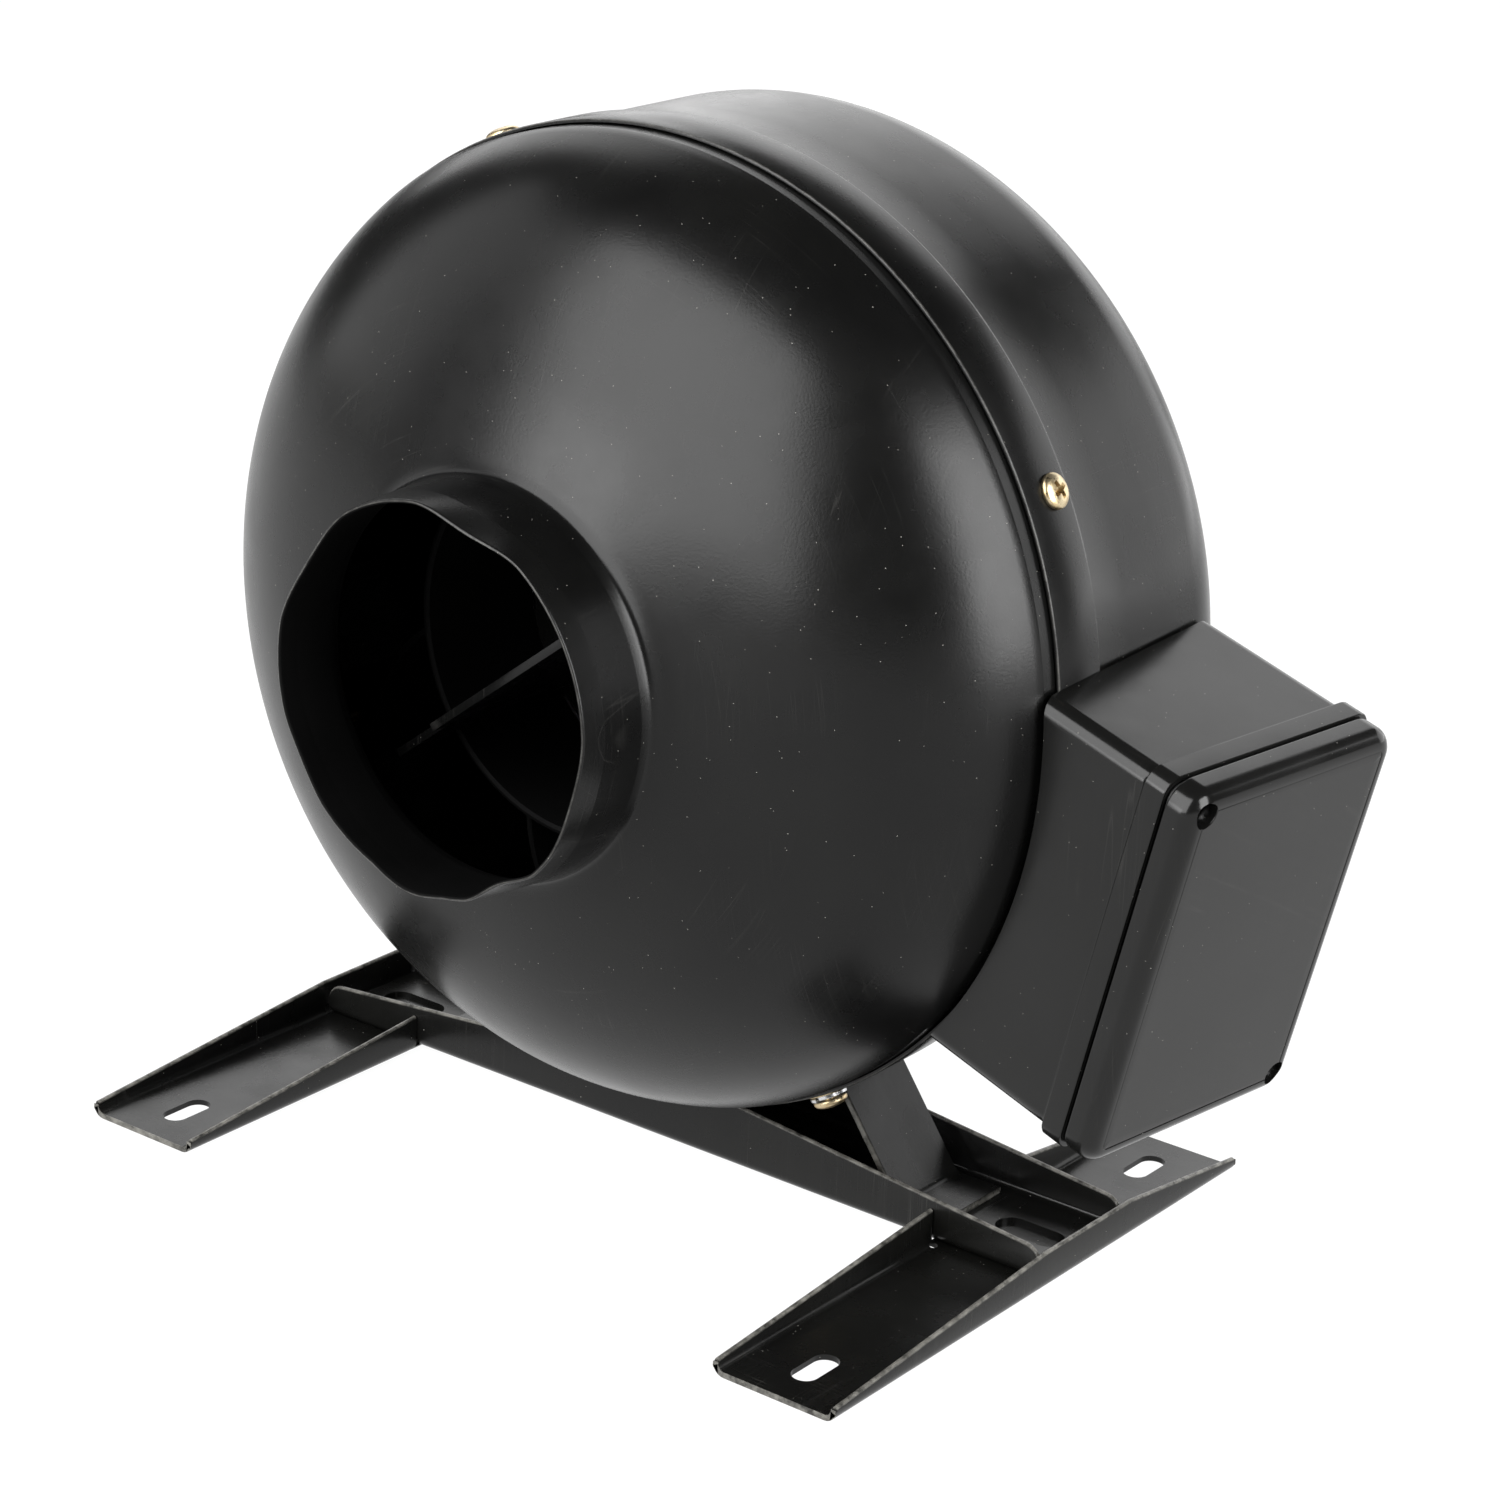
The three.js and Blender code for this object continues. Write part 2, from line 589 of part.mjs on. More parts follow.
// A curved blade's path in the plane across the axis, from one radius to another.
function bladePath(inner, outer, sweep, steps) {
  return [...Array(steps + 1).keys()].map((i) => {
    const share = i / steps;
    const radius = inner + (outer - inner) * share;
    const angle = sweep * share ** 1.3 * degree;
    return point(radius * Math.cos(angle), radius * Math.sin(angle));
  });
}

function makeGuideVanes() {
  const { ringRadius, ringSheet, count, reach, sheet, front, setback, sweep } = guideVanes;
  const rear = spider.front;
  const hoop = ring(ringRadius - ringSheet, ringRadius, front, rear).applyMatrix4(axisFrame);
  const outline = sheetOutline(bladePath(ringRadius - ringSheet / 2, reach, sweep, 5), sheet);
  const vanes = [...Array(count).keys()].map((i) =>
    alongY(shapeOf(outline), front + setback, rear)
      .applyMatrix4(sectorFrame(strut.angle + ((i + 0.5) * 360) / count)));
  addPiece('guide_vanes', join([hoop, ...vanes]), colours.powderCoat);
}

// ---- motor ----

function makeMotorBase() {
  const bore = bearing.radius + drillGap / 2;
  const outline = [
    point(0, baseFront), point(motorBaseRadius, baseFront), point(motorBaseRadius, baseRear),
    point(tubeRadius, baseRear), point(tubeRadius, tubeRear), point(bore, tubeRear),
    point(bore, baseRear), point(0, baseRear)
  ];
  const geometry = turned(outline).applyMatrix4(axisFrame);
  const holes = carrierHoles(baseFront - past, baseRear + past);
  addPiece('motor_base', cut(geometry, holes), colours.galvanised);
  [...Array(motorScrew.count).keys()].forEach((i) => {
    const frame = sectorFrame(motorScrew.firstAngle + (i * 360) / motorScrew.count);
    const screw = panScrew(screwSmall, 0, -spider.steel - motor.baseThick - bite).rotateX(Math.PI);
    addPiece(`motor_screw_${i + 1}`, screw.translate(motorScrewCircle, spider.front, 0),
      colours.brightZinc, frame);
  });
}

function makeStator() {
  const { statorStart, statorLength, slotCount, slotWidth, slotDepth } = motor;
  const end = statorStart + statorLength;
  const core = ring(tubeRadius + gap, statorRadius, statorStart, end);
  const slots = [...Array(slotCount).keys()].map((i) =>
    block([statorRadius - slotDepth, statorStart - past, -slotWidth / 2],
      [statorRadius + past, end + past, slotWidth / 2])
      .rotateY((i * 360 * degree) / slotCount));
  addPiece('stator_core', cut(core, slots), colours.lamination, axisFrame);
  const { windingThick, windingRound: round } = motor;
  const windingInner = tubeRadius + motor.windingInside;
  const windingOuter = statorRadius - motor.windingOutside;
  const coils = { winding_front: statorStart - gap - windingThick, winding_rear: end + gap };
  for (const [name, from] of Object.entries(coils)) {
    const to = from + windingThick;
    const coil = turned([
      point(windingInner, from + round), point(windingInner + round, from),
      point(windingOuter - round, from), point(windingOuter, from + round),
      point(windingOuter, to - round), point(windingOuter - round, to),
      point(windingInner + round, to), point(windingInner, to - round)
    ], 24);
    addPiece(name, coil, colours.copper, axisFrame);
  }
}

function makeBearings() {
  const inner = shaft.radius + bearing.runningGap;
  const starts = { bearing_front: baseRear + gap, bearing_rear: tubeRear - bearing.length };
  for (const [name, start] of Object.entries(starts)) {
    const race = ring(inner, bearing.radius, start, start + bearing.length, shaftTurns);
    addPiece(name, race, colours.steel, axisFrame);
  }
}

// ---- rotor and impeller ----

function makeRotor() {
  const { radius, sheet, front, rear, flangeFront, bossLength, round } = can;
  const bossRadius = shaft.radius + can.bossWall;
  const bossFront = rear - sheet - bossLength;
  const inside = radius - sheet;
  const bore = shaft.radius + bearing.runningGap;
  const outline = [
    point(inside, front), point(radius, front), point(radius, flangeFront), point(flangeRadius, flangeFront),
    point(flangeRadius, plateFront), point(radius, plateFront), point(radius, rear - round),
    point(radius - round, rear), point(bore, rear), point(bore, bossFront),
    point(bossRadius, bossFront), point(bossRadius, rear - sheet), point(inside, rear - sheet)
  ];
  const holes = rotorScrewFrames.map((frame) =>
    drill(screwSmall, flangeFront - 1, plateFront + 1).translate(rotorScrewCircle, 0, 0)
      .applyMatrix4(frame));
  const geometry = turned(outline).applyMatrix4(axisFrame);
  addPiece('rotor_can', cut(geometry, holes), colours.galvanised);
  addPiece('shaft', disc(shaft.radius, shaft.front, shaft.rear, shaftTurns), colours.steel, axisFrame);
}

function makeImpeller() {
  const { radius, sheet, blades, bladeSheet, bladeSweep, bladeSetback, neck } = impeller;
  const plate = ring(can.radius + gap, radius, plateFront, bladeFront).applyMatrix4(axisFrame);
  const holes = rotorScrewFrames.map((frame) =>
    drill(screwSmall, plateFront - 1, bladeFront + 1).translate(rotorScrewCircle, 0, 0)
      .applyMatrix4(frame));
  addPiece('impeller_backplate', cut(plate, holes), colours.galvanised);
  const outline = sheetOutline(bladePath(bladeInner, radius - bladeSetback, bladeSweep, 6), bladeSheet);
  for (let i = 0; i < blades; i += 1) {
    addPiece(`impeller_blade_${i + 1}`, alongY(shapeOf(outline), bladeFront, bladeRear),
      colours.galvanised, sectorFrame((i * 360) / blades));
  }
  const middle = bladeRear + sheet / 2;
  const bend = bladeInner - eyeRadius - sheet / 2;
  const curve = [...Array(4).keys()].map((i) => {
    const angle = (i * 90 * degree) / 3;
    return point(bladeInner - bend * Math.sin(angle), middle + neck * (1 - Math.cos(angle)));
  });
  const shroud = turned(sheetOutline([point(radius, middle), ...curve], sheet));
  addPiece('impeller_shroud', shroud, colours.galvanised, axisFrame);
  rotorScrewFrames.forEach((frame, i) => {
    const screw = panScrew(screwSmall, bladeFront, bladeFront - rotorScrew.length);
    addPiece(`impeller_screw_${i + 1}`, screw.translate(rotorScrewCircle, 0, 0), colours.brightZinc, frame);
  });
}

// A bell mouth inside the inlet spigot, whose throat reaches into the impeller's eye.
function makeInletCone() {
  const { sheet, lap, flangeShare, pull } = inletCone;
  const curve = domeCurve(rearDome, housing.radius, housing.rearStraight);
  const depth = housing.sheet + gap + sheet / 2;
  const flange = [0, 0.5, 0.9].map((share) => inset(curve, 1 - flangeShare * (1 - share), depth));
  const tip = neckRear - lap;
  const mouth = flange[flange.length - 1];
  const bell = new THREE.CubicBezierCurve(
    mouth,
    point(mouth.x - 3, mouth.y + 1.2),
    point(throat + sheet / 2, mouth.y - pull),
    point(throat + sheet / 2, tip + pull));
  const path = [...flange, ...bell.getPoints(5).slice(1), point(throat + sheet / 2, tip)];
  addPiece('inlet_cone', turned(sheetOutline(path, sheet)), colours.galvanised, axisFrame);
}

// ---- junction box, in its own turned frame: X out of the lid, Y along the fan, Z up the lid ----

const backLine = new THREE.Matrix4().copy(boxFrame).invert().multiply(axisFrame);

// The housing's round side as a solid in the box's frame, grown by a margin.
function housingCore(margin) {
  return disc(bandRadius + margin, -box.height, box.height, turns * 2).applyMatrix4(backLine);
}

const lidCorners = [[-1, 1], [1, -1]].map(([along, up]) => [
  along * (box.depth / 2 + box.rim - box.screwInset),
  up * (box.height / 2 + box.rim - box.screwInset)
]);

function makeBoxBase() {
  const { depth, height, wall, deep, ledge, parting, rim, seam, corner, post } = box;
  const top = parting - seam;
  const body = join([
    alongX(roundedShape(THREE.Shape, depth, height, corner), deep, ledge),
    alongX(roundedShape(THREE.Shape, depth + rim * 2, height + rim * 2, corner + rim), ledge, top)
  ]);
  const hollow = alongX(
    roundedShape(THREE.Shape, depth - wall * 2, height - wall * 2, corner - wall / 2), deep, top + past);
  const posts = lidCorners.map(([along, up]) => block(
    [deep - past, along - post / 2, up - post / 2], [top + past, along + post / 2, up + post / 2]));
  let space = toSolid(hollow).subtract(toSolid(housingCore(gap + wall)));
  for (const pillar of posts) space = space.subtract(toSolid(pillar));
  const screwHolesInPosts = lidCorners.map(([along, up]) =>
    disc(lidScrew.shankRadius + drillGap, top - lidScrew.length, top + past)
      .rotateZ(-Math.PI / 2).translate(0, along, up));
  const inverse = new THREE.Matrix4().copy(boxFrame).invert();
  const tools = [
    ...boxHoles.map((tool) => tool.clone().applyMatrix4(inverse)),
    ...screwHolesInPosts,
    disc(gland.threadRadius + drillGap, 0, depth, boreTurns).translate(gland.offset[0], 0, gland.offset[1])
  ];
  const shell = toSolid(body).subtract(toSolid(housingCore(gap))).subtract(space);
  addPiece('junction_box_base', cut(toGeometry(shell), tools), colours.boxPlastic, boxFrame);
}

function makeLid() {
  const { depth, height, parting, face, rim, corner, wall, post, lidRound: round } = box;
  const [width, tall] = [depth + rim * 2, height + rim * 2];
  const rings = [[0, 0], [face - parting - round, 0], [face - parting - round * 0.35, round * 0.35],
    [face - parting, round]];
  const slab = rings.slice(1).map(([level, shrink], i) => alongX(
    roundedShape(THREE.Shape, width - shrink * 2, tall - shrink * 2, corner + rim), parting + rings[i][0],
    parting + level));
  const hollow = alongX(
    roundedShape(THREE.Shape, depth - wall * 2, height - wall * 2, corner - wall / 2),
    parting - past, face - wall);
  const posts = lidCorners.map(([along, up]) => block(
    [parting - past * 2, along - post / 2, up - post / 2], [face, along + post / 2, up + post / 2]));
  let space = toSolid(hollow);
  for (const pillar of posts) space = space.subtract(toSolid(pillar));
  const bores = lidCorners.flatMap(([along, up]) => [
    disc(lidScrew.headRadius + drillGap, face - lidScrew.sink - lidScrew.headHeight, face + past, boreTurns),
    disc(lidScrew.shankRadius + drillGap, parting - past, face)
  ].map((tool) => tool.rotateZ(-Math.PI / 2).translate(0, along, up)));
  const shell = toSolid(join(slab)).subtract(space);
  addPiece('junction_box_lid', cut(toGeometry(shell), bores), colours.boxPlastic, boxFrame);
  lidCorners.forEach(([along, up], i) => {
    const seat = face - lidScrew.sink - lidScrew.headHeight + gap;
    const screw = panScrew(lidScrew, seat, parting - box.seam - lidScrew.length + 1);
    screw.rotateZ(-Math.PI / 2).translate(0, along, up);
    addPiece(`lid_screw_${i + 1}`, screw, colours.brightZinc, boxFrame);
  });
}

function makeGasket() {
  const { depth, height, wall, parting, seam, corner } = box;
  const narrow = wall * 2 - 0.4;
  const inner = roundedShape(THREE.Path, depth - narrow, height - narrow, corner - wall / 2);
  const shape = roundedShape(THREE.Shape, depth, height, corner);
  shape.holes.push(inner);
  const strip = alongX(shape, parting - seam + gap, parting - gap);
  const notches = lidCorners.map(([along, up]) => drill(lidScrew, parting - past, parting + past)
    .rotateZ(-Math.PI / 2).translate(0, along, up));
  addPiece('lid_gasket', cut(strip, notches), colours.rubber, boxFrame);
}

function makeBoxContents() {
  const core = toSolid(housingCore(gap * 2 + box.wall));
  const clearOfBack = (geometry) => toGeometry(toSolid(geometry).subtract(core));
  const { width, length, seat, rise, height, ways, entryWidth, entryFrom, entryTo } = terminal;
  const top = seat + rise;
  const entries = [...Array(ways).keys()].map((i) => {
    const middle = ((i + 0.5) / ways - 0.5) * length;
    return block([top - entryFrom, middle - entryWidth / 2, height - width],
      [top - entryTo, middle + entryWidth / 2, height + width]);
  });
  const blockBody = block([seat, -length / 2, height - width / 2], [top, length / 2, height + width / 2]);
  addPiece('terminal_block', clearOfBack(cut(blockBody, entries)), colours.palePlastic, boxFrame);
  const tin = disc(capacitor.radius, -capacitor.length / 2, capacitor.length / 2, 24)
    .translate(capacitor.standoff, 0, capacitor.height);
  addPiece('capacitor', tin, colours.palePlastic, boxFrame);
  const { radius, clipSheet, clipWidth, standoff } = capacitor;
  const clip = ring(radius + gap, radius + gap + clipSheet, -clipWidth / 2, clipWidth / 2, 24)
    .translate(standoff, 0, capacitor.height);
  addPiece('capacitor_clip', clip, colours.galvanised, boxFrame);
}

function makeGland() {
  const { offset, threadRadius, hexRadius, hexThick, capRadius, capLength, capTaper, bore } = gland;
  const { nutRadius, nutThick } = gland;
  const face = box.depth / 2 + gap;
  const inside = box.depth / 2 - box.wall;
  const through = disc(bore, inside - capLength * 2, face + capLength * 3, boreTurns);
  const barrel = disc(threadRadius, inside - nutThick - 2, face + hexThick + 0.1, boreTurns);
  const hex = extruded(hexagon(hexRadius), hexThick).rotateX(Math.PI / 2).translate(0, face + hexThick, 0);
  const cap = turned([
    point(0, face + hexThick), point(capRadius, face + hexThick), point(capRadius, face + capLength),
    point(capRadius * 0.75, face + capLength + capTaper), point(0, face + capLength + capTaper)
  ], boreTurns);
  const place = (geometry) => geometry.translate(offset[0], 0, offset[1]);
  addPiece('cable_gland', place(cut(join([barrel, hex, cap]), [through])), colours.rubber, boxFrame);
  const nut = extruded(hexagon(nutRadius), nutThick).rotateX(Math.PI / 2).translate(0, inside - gap, 0);
  const nutHole = disc(threadRadius + gap, inside - nutThick * 2, inside + past, boreTurns);
  addPiece('gland_nut', place(cut(nut, [nutHole])), colours.rubber, boxFrame);
}

function makeBoxFasteners() {
  boxScrewFrames.forEach((frame, i) => {
    const start = wallFace(frame) + boxScrew.lift;
    addPiece(`box_screw_${i + 1}`, panScrew(boxScrew, start, start - box.wall - boxScrew.reach),
      colours.brightZinc, frame);
  });
}

// Distance along a frame's Y at which the inside of the box's back wall is reached, plus a gap.
function wallFace(frame) {
  const start = new THREE.Vector3().setFromMatrixPosition(frame);
  const way = new THREE.Vector3(0, 1, 0).transformDirection(frame);
  const radius = bandRadius + gap * 2.5 + box.wall;
  const [x, z] = [start.x, start.z - axisHeight];
  const [a, b, c] = [way.x ** 2 + way.z ** 2, x * way.x + z * way.z, x * x + z * z - radius * radius];
  return (-b + Math.sqrt(b * b - a * c)) / a;
}

// The motor's lead: out from the motor's base, through the grommet and up to the terminal block.
function makeLead() {
  const face = wallFace(grommetFrame);
  const { bore, radius, flangeRadius, flangeThick } = grommet;
  const inner = face - box.wall - housing.sheet - housing.expansion - grommet.tail;
  const seat = face + grommet.lift;
  const outline = [
    point(bore, inner), point(radius, inner), point(radius, seat), point(flangeRadius, seat),
    point(flangeRadius, seat + flangeThick), point(bore, seat + flangeThick)
  ];
  addPiece('lead_grommet', turned(outline, boreTurns), colours.rubber, grommetFrame);
  const wallPoint = (distance) => new THREE.Vector3(0, distance, 0).applyMatrix4(grommetFrame);
  const through = wallPoint(face);
  const angle = Math.atan2(through.z - axisHeight, through.x);
  const inPlane = (r, y) => new THREE.Vector3(
    r * Math.cos(angle), y, axisHeight + r * Math.sin(angle));
  const end = new THREE.Vector3(terminal.rise + 8, 0, terminal.height + 14).applyMatrix4(boxFrame);
  const route = new THREE.CatmullRomCurve3([
    inPlane(lead.start, lead.height),
    inPlane(lead.start + 28, lead.height),
    inPlane(lead.start + 52, lead.height + 1.2),
    wallPoint(inner - 2),
    wallPoint((inner + face) / 2),
    wallPoint(face + 4),
    end
  ]);
  const section = new THREE.Shape().absarc(0, 0, lead.radius, 0, Math.PI * 2);
  const tube = new THREE.ExtrudeGeometry(section, {
    steps: 18, extrudePath: route, bevelEnabled: false, curveSegments: lead.sides / 2
  });
  addPiece('motor_lead', tube, colours.rubber);
}

makeFrontShell();
makeRearShell();
makeHousingScrews();
makeFoot('foot_right', 1);
makeFoot('foot_left', -1);
makeChannel();
makeSaddle();
makeSpider();
makeStrut();
makeGuideVanes();
makeMotorBase();
makeStator();
makeBearings();
makeRotor();
makeImpeller();
makeInletCone();
makeBoxBase();
makeLid();
makeGasket();
makeBoxContents();
makeGland();
makeBoxFasteners();
makeLead();

fan.updateMatrixWorld(true);
const outline = new THREE.Box3().setFromObject(fan, true);
const middle = outline.getCenter(new THREE.Vector3());
for (const mesh of fan.children) mesh.position.sub(new THREE.Vector3(middle.x, middle.y, outline.min.z));

export default fan;
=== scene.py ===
from math import acos, atan2, cos, degrees, hypot, pi, radians, sin, sqrt

import bmesh
import bpy
from mathutils import Matrix, Vector


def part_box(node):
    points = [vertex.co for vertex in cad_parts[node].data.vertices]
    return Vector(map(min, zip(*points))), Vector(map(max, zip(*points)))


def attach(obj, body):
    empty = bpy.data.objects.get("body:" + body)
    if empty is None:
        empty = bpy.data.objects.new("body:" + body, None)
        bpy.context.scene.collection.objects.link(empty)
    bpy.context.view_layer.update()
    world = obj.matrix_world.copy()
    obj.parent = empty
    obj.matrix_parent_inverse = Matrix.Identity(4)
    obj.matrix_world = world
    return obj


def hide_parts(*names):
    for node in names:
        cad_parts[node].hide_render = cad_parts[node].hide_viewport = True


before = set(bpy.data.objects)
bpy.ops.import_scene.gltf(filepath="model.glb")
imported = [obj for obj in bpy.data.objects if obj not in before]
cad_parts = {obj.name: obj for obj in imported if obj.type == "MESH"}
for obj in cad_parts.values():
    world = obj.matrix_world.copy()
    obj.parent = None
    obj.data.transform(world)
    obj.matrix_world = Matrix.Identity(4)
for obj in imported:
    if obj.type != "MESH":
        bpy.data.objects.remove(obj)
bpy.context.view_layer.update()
scene = bpy.context.scene
mm = 0.001

# Lengths below are in millimetres from the middle of the housing: x and z across the
# fan's axis with z counted from the floor, and y along it with the outlet at -y.
rimToMiddle = 110.5
canLow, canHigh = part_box("rotor_can")
axisHeight = (canLow.z + canHigh.z) / 2 / mm
originPoint = Vector(((canLow.x + canHigh.x) / 2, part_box("front_shell")[0].y + rimToMiddle * mm, 0))

camera = {"azimuth": 37.19, "elevation": 20.29, "roll": 2.14, "distance": 1.03306, "lens": 96,
          "target": (14.38, -1.71, 112.33)}


def makeCamera():
    a, e = radians(camera["azimuth"]), radians(camera["elevation"])
    back = Vector((sin(a) * cos(e), -cos(a) * cos(e), sin(e)))
    data = bpy.data.cameras.new("studioCamera")
    data.lens = camera["lens"]
    data.sensor_width = 36
    cam = bpy.data.objects.new("studioCamera", data)
    scene.collection.objects.link(cam)
    turn = back.to_track_quat("Z", "Y").to_matrix().to_4x4()
    target = originPoint + Vector(camera["target"]) * mm
    place = Matrix.Translation(target + back * camera["distance"])
    cam.matrix_world = place @ turn @ Matrix.Rotation(radians(camera["roll"]), 4, "Z")
    scene.camera = cam


makeCamera()
print("camera set")


# building meshes

def span(first, last, count):
    return [first + (last - first) * i / (count - 1) for i in range(count)]


def loft(rings, closedAlong=False):
    # rings of points joined one to the next, with flat ends unless the rings close on themselves
    size = len(rings[0])
    points = [p for ring in rings for p in ring]
    steps = len(rings) if closedAlong else len(rings) - 1
    faces = []
    for i in range(steps):
        a, b = i * size, (i + 1) % len(rings) * size
        faces += [(a + j, a + (j + 1) % size, b + (j + 1) % size, b + j) for j in range(size)]
    if not closedAlong:
        faces += [tuple(range(size)), tuple(range(len(points) - size, len(points)))]
    return points, faces


def lathe(profile, sides, reshape=None):
    # the closed profile of (radius, y) goes round the fan's axis
    rings = []
    for k in range(sides):
        a = 2 * pi * k / sides
        ring = []
        for r, y in profile:
            r = reshape(r, y, a) if reshape else r
            ring.append((r * cos(a), y, r * sin(a) + axisHeight))
        rings.append(ring)
    return loft(rings, closedAlong=True)


def spindle(profile, sides):
    # the profile of (radius, y) starts and ends on the local Y axis
    rings = [[(max(r, 0.001) * cos(2 * pi * k / sides), y, max(r, 0.001) * sin(2 * pi * k / sides))
              for k in range(sides)] for r, y in profile]
    return loft(rings)


def tidied(mesh):
    work = bmesh.new()
    work.from_mesh(mesh)
    bmesh.ops.remove_doubles(work, verts=work.verts, dist=1e-7)
    bmesh.ops.recalc_face_normals(work, faces=work.faces)
    work.to_mesh(mesh)
    work.free()
    return mesh


def rawObject(name, shape, turn=None):
    points, faces = shape
    turn = turn or Matrix.Identity(4)
    mesh = bpy.data.meshes.new(name)
    mesh.from_pydata([originPoint + (turn @ Vector(p)) * mm for p in points], [], faces)
    obj = bpy.data.objects.new(name, tidied(mesh))
    scene.collection.objects.link(obj)
    return obj


def applied(obj):
    bpy.context.view_layer.update()
    made = bpy.data.meshes.new_from_object(obj.evaluated_get(bpy.context.evaluated_depsgraph_get()))
    obj.modifiers.clear()
    obj.data = made
    return obj


def combine(obj, others, operation="DIFFERENCE"):
    for other in others:
        step = obj.modifiers.new("combine", "BOOLEAN")
        step.operation = operation
        step.solver = "EXACT"
        step.object = other
    applied(obj)
    for other in others:
        bpy.data.objects.remove(other)
    return obj


def rounded(obj, width, segments=2, angle=40):
    step = obj.modifiers.new("rounded", "BEVEL")
    step.width = width * mm
    step.segments = segments
    step.limit_method = "ANGLE"
    step.angle_limit = radians(angle)
    step.harden_normals = False
    return applied(obj)


def piece(obj, material, body, slotName, *nodes, sharp=32, even=False):
    # the last word on a finished mesh: smooth faces, its material, its body and what it stands for
    obj.data.shade_smooth()
    obj.data.set_sharp_from_angle(angle=radians(sharp))
    if even:
        step = obj.modifiers.new("evenNormals", "WEIGHTED_NORMAL")
        step.keep_sharp = True
        step.weight = 80
    obj.data.materials.clear()
    obj.data.materials.append(material)
    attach(obj, body)
    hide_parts(*nodes)
    return obj


def markWear(obj, amount):
    # worn paint: amount takes a point in millimetres and gives 0 to 1
    layer = obj.data.attributes.new("wear", "FLOAT", "POINT")
    layer.data.foreach_set("value", [amount((v.co - originPoint) / mm) for v in obj.data.vertices])


def filletPath(points, radius, steps=5):
    # corners of an open path turned into arcs
    path = [Vector(points[0])]
    for before, corner, after in zip(points, points[1:], points[2:]):
        before, corner, after = Vector(before), Vector(corner), Vector(after)
        a, b = (before - corner).normalized(), (after - corner).normalized()
        half = acos(max(-1, min(1, a.dot(b)))) / 2
        reach = radius / sin(half) * cos(half)
        centre = corner + (a + b).normalized() * (radius / sin(half))
        first, last = corner + a * reach - centre, corner + b * reach - centre
        turn = atan2(first.x * last.y - first.y * last.x, first.dot(last))
        path += [centre + Matrix.Rotation(turn * share, 2) @ first for share in span(0, 1, steps)]
    return path + [Vector(points[-1])]


def sheetLoop(path, thickness, roundSteps=4):
    # the outline of sheet metal along an open path, with round edges at both ends
    normals = []
    for i, p in enumerate(path):
        along = (path[min(i + 1, len(path) - 1)] - path[max(i - 1, 0)]).normalized()
        normals.append(Vector((-along.y, along.x)))
    half = thickness / 2
    left = [p + n * half for p, n in zip(path, normals)]
    right = [p - n * half for p, n in zip(path, normals)]
    tip = [path[-1] + Matrix.Rotation(-pi * s, 2) @ (normals[-1] * half)
           for s in span(0, 1, roundSteps + 2)[1:-1]]
    tail = [path[0] + Matrix.Rotation(-pi * s, 2) @ (normals[0] * -half)
            for s in span(0, 1, roundSteps + 2)[1:-1]]
    return left + tip + right[::-1] + tail


def roundRect(width, height, corner, steps=6):
    points = []
    for cx, cy, start in ((1, 1, 0), (-1, 1, 90), (-1, -1, 180), (1, -1, 270)):
        middle = (cx * (width / 2 - corner), cy * (height / 2 - corner))
        for a in span(start, start + 90, steps):
            points.append((middle[0] + corner * cos(radians(a)), middle[1] + corner * sin(radians(a))))
    return points


def brick(low, high):
    ring = lambda x: [(x, low[1], low[2]), (x, high[1], low[2]), (x, high[1], high[2]),
                      (x, low[1], high[2])]
    return loft([ring(low[0]), ring(high[0])])


def radialTurn(angle, y):
    # local Y points away from the fan's axis, at an angle from +x towards +z
    a = radians(angle)
    turn = Matrix(((0, cos(a), -sin(a)), (-1, 0, 0), (0, sin(a), cos(a)))).to_4x4()
    return Matrix.Translation((0, y, axisHeight)) @ turn


def sectorTurn(angle):
    # local X points away from the fan's axis and local Y stays along it
    return Matrix.Translation((0, 0, axisHeight)) @ Matrix.Rotation(radians(-angle), 4, "Y")


# finishes

def link(tree, start, end):
    tree.links.new(start, end)


def node(tree, kind, **values):
    made = tree.nodes.new("ShaderNode" + kind)
    for name, value in values.items():
        if hasattr(made, name):
            setattr(made, name, value)
        else:
            made.inputs[name.replace("_", " ")].default_value = value
    return made


def ramp(tree, source, stops):
    made = tree.nodes.new("ShaderNodeValToRGB")
    while len(made.color_ramp.elements) < len(stops):
        made.color_ramp.elements.new(0.5)
    for element, (place, value) in zip(made.color_ramp.elements, stops):
        element.position = place
        element.color = (*value, 1) if isinstance(value, tuple) else (value, value, value, 1)
    link(tree, source, made.inputs["Fac"])
    return made.outputs["Color"]


def mixed(tree, factor, first, second):
    made = node(tree, "Mix", data_type="RGBA")
    for socket, value in ((made.inputs[0], factor), (made.inputs[6], first), (made.inputs[7], second)):
        if isinstance(value, tuple):
            socket.default_value = (*value, 1)
        elif isinstance(value, (int, float)):
            socket.default_value = value
        else:
            link(tree, value, socket)
    return made.outputs[2]


def maths(tree, operation, first, second=0.0):
    made = node(tree, "Math", operation=operation)
    for socket, value in zip(made.inputs, (first, second)):
        if isinstance(value, (int, float)):
            socket.default_value = value
        else:
            link(tree, value, socket)
    return made.outputs[0]


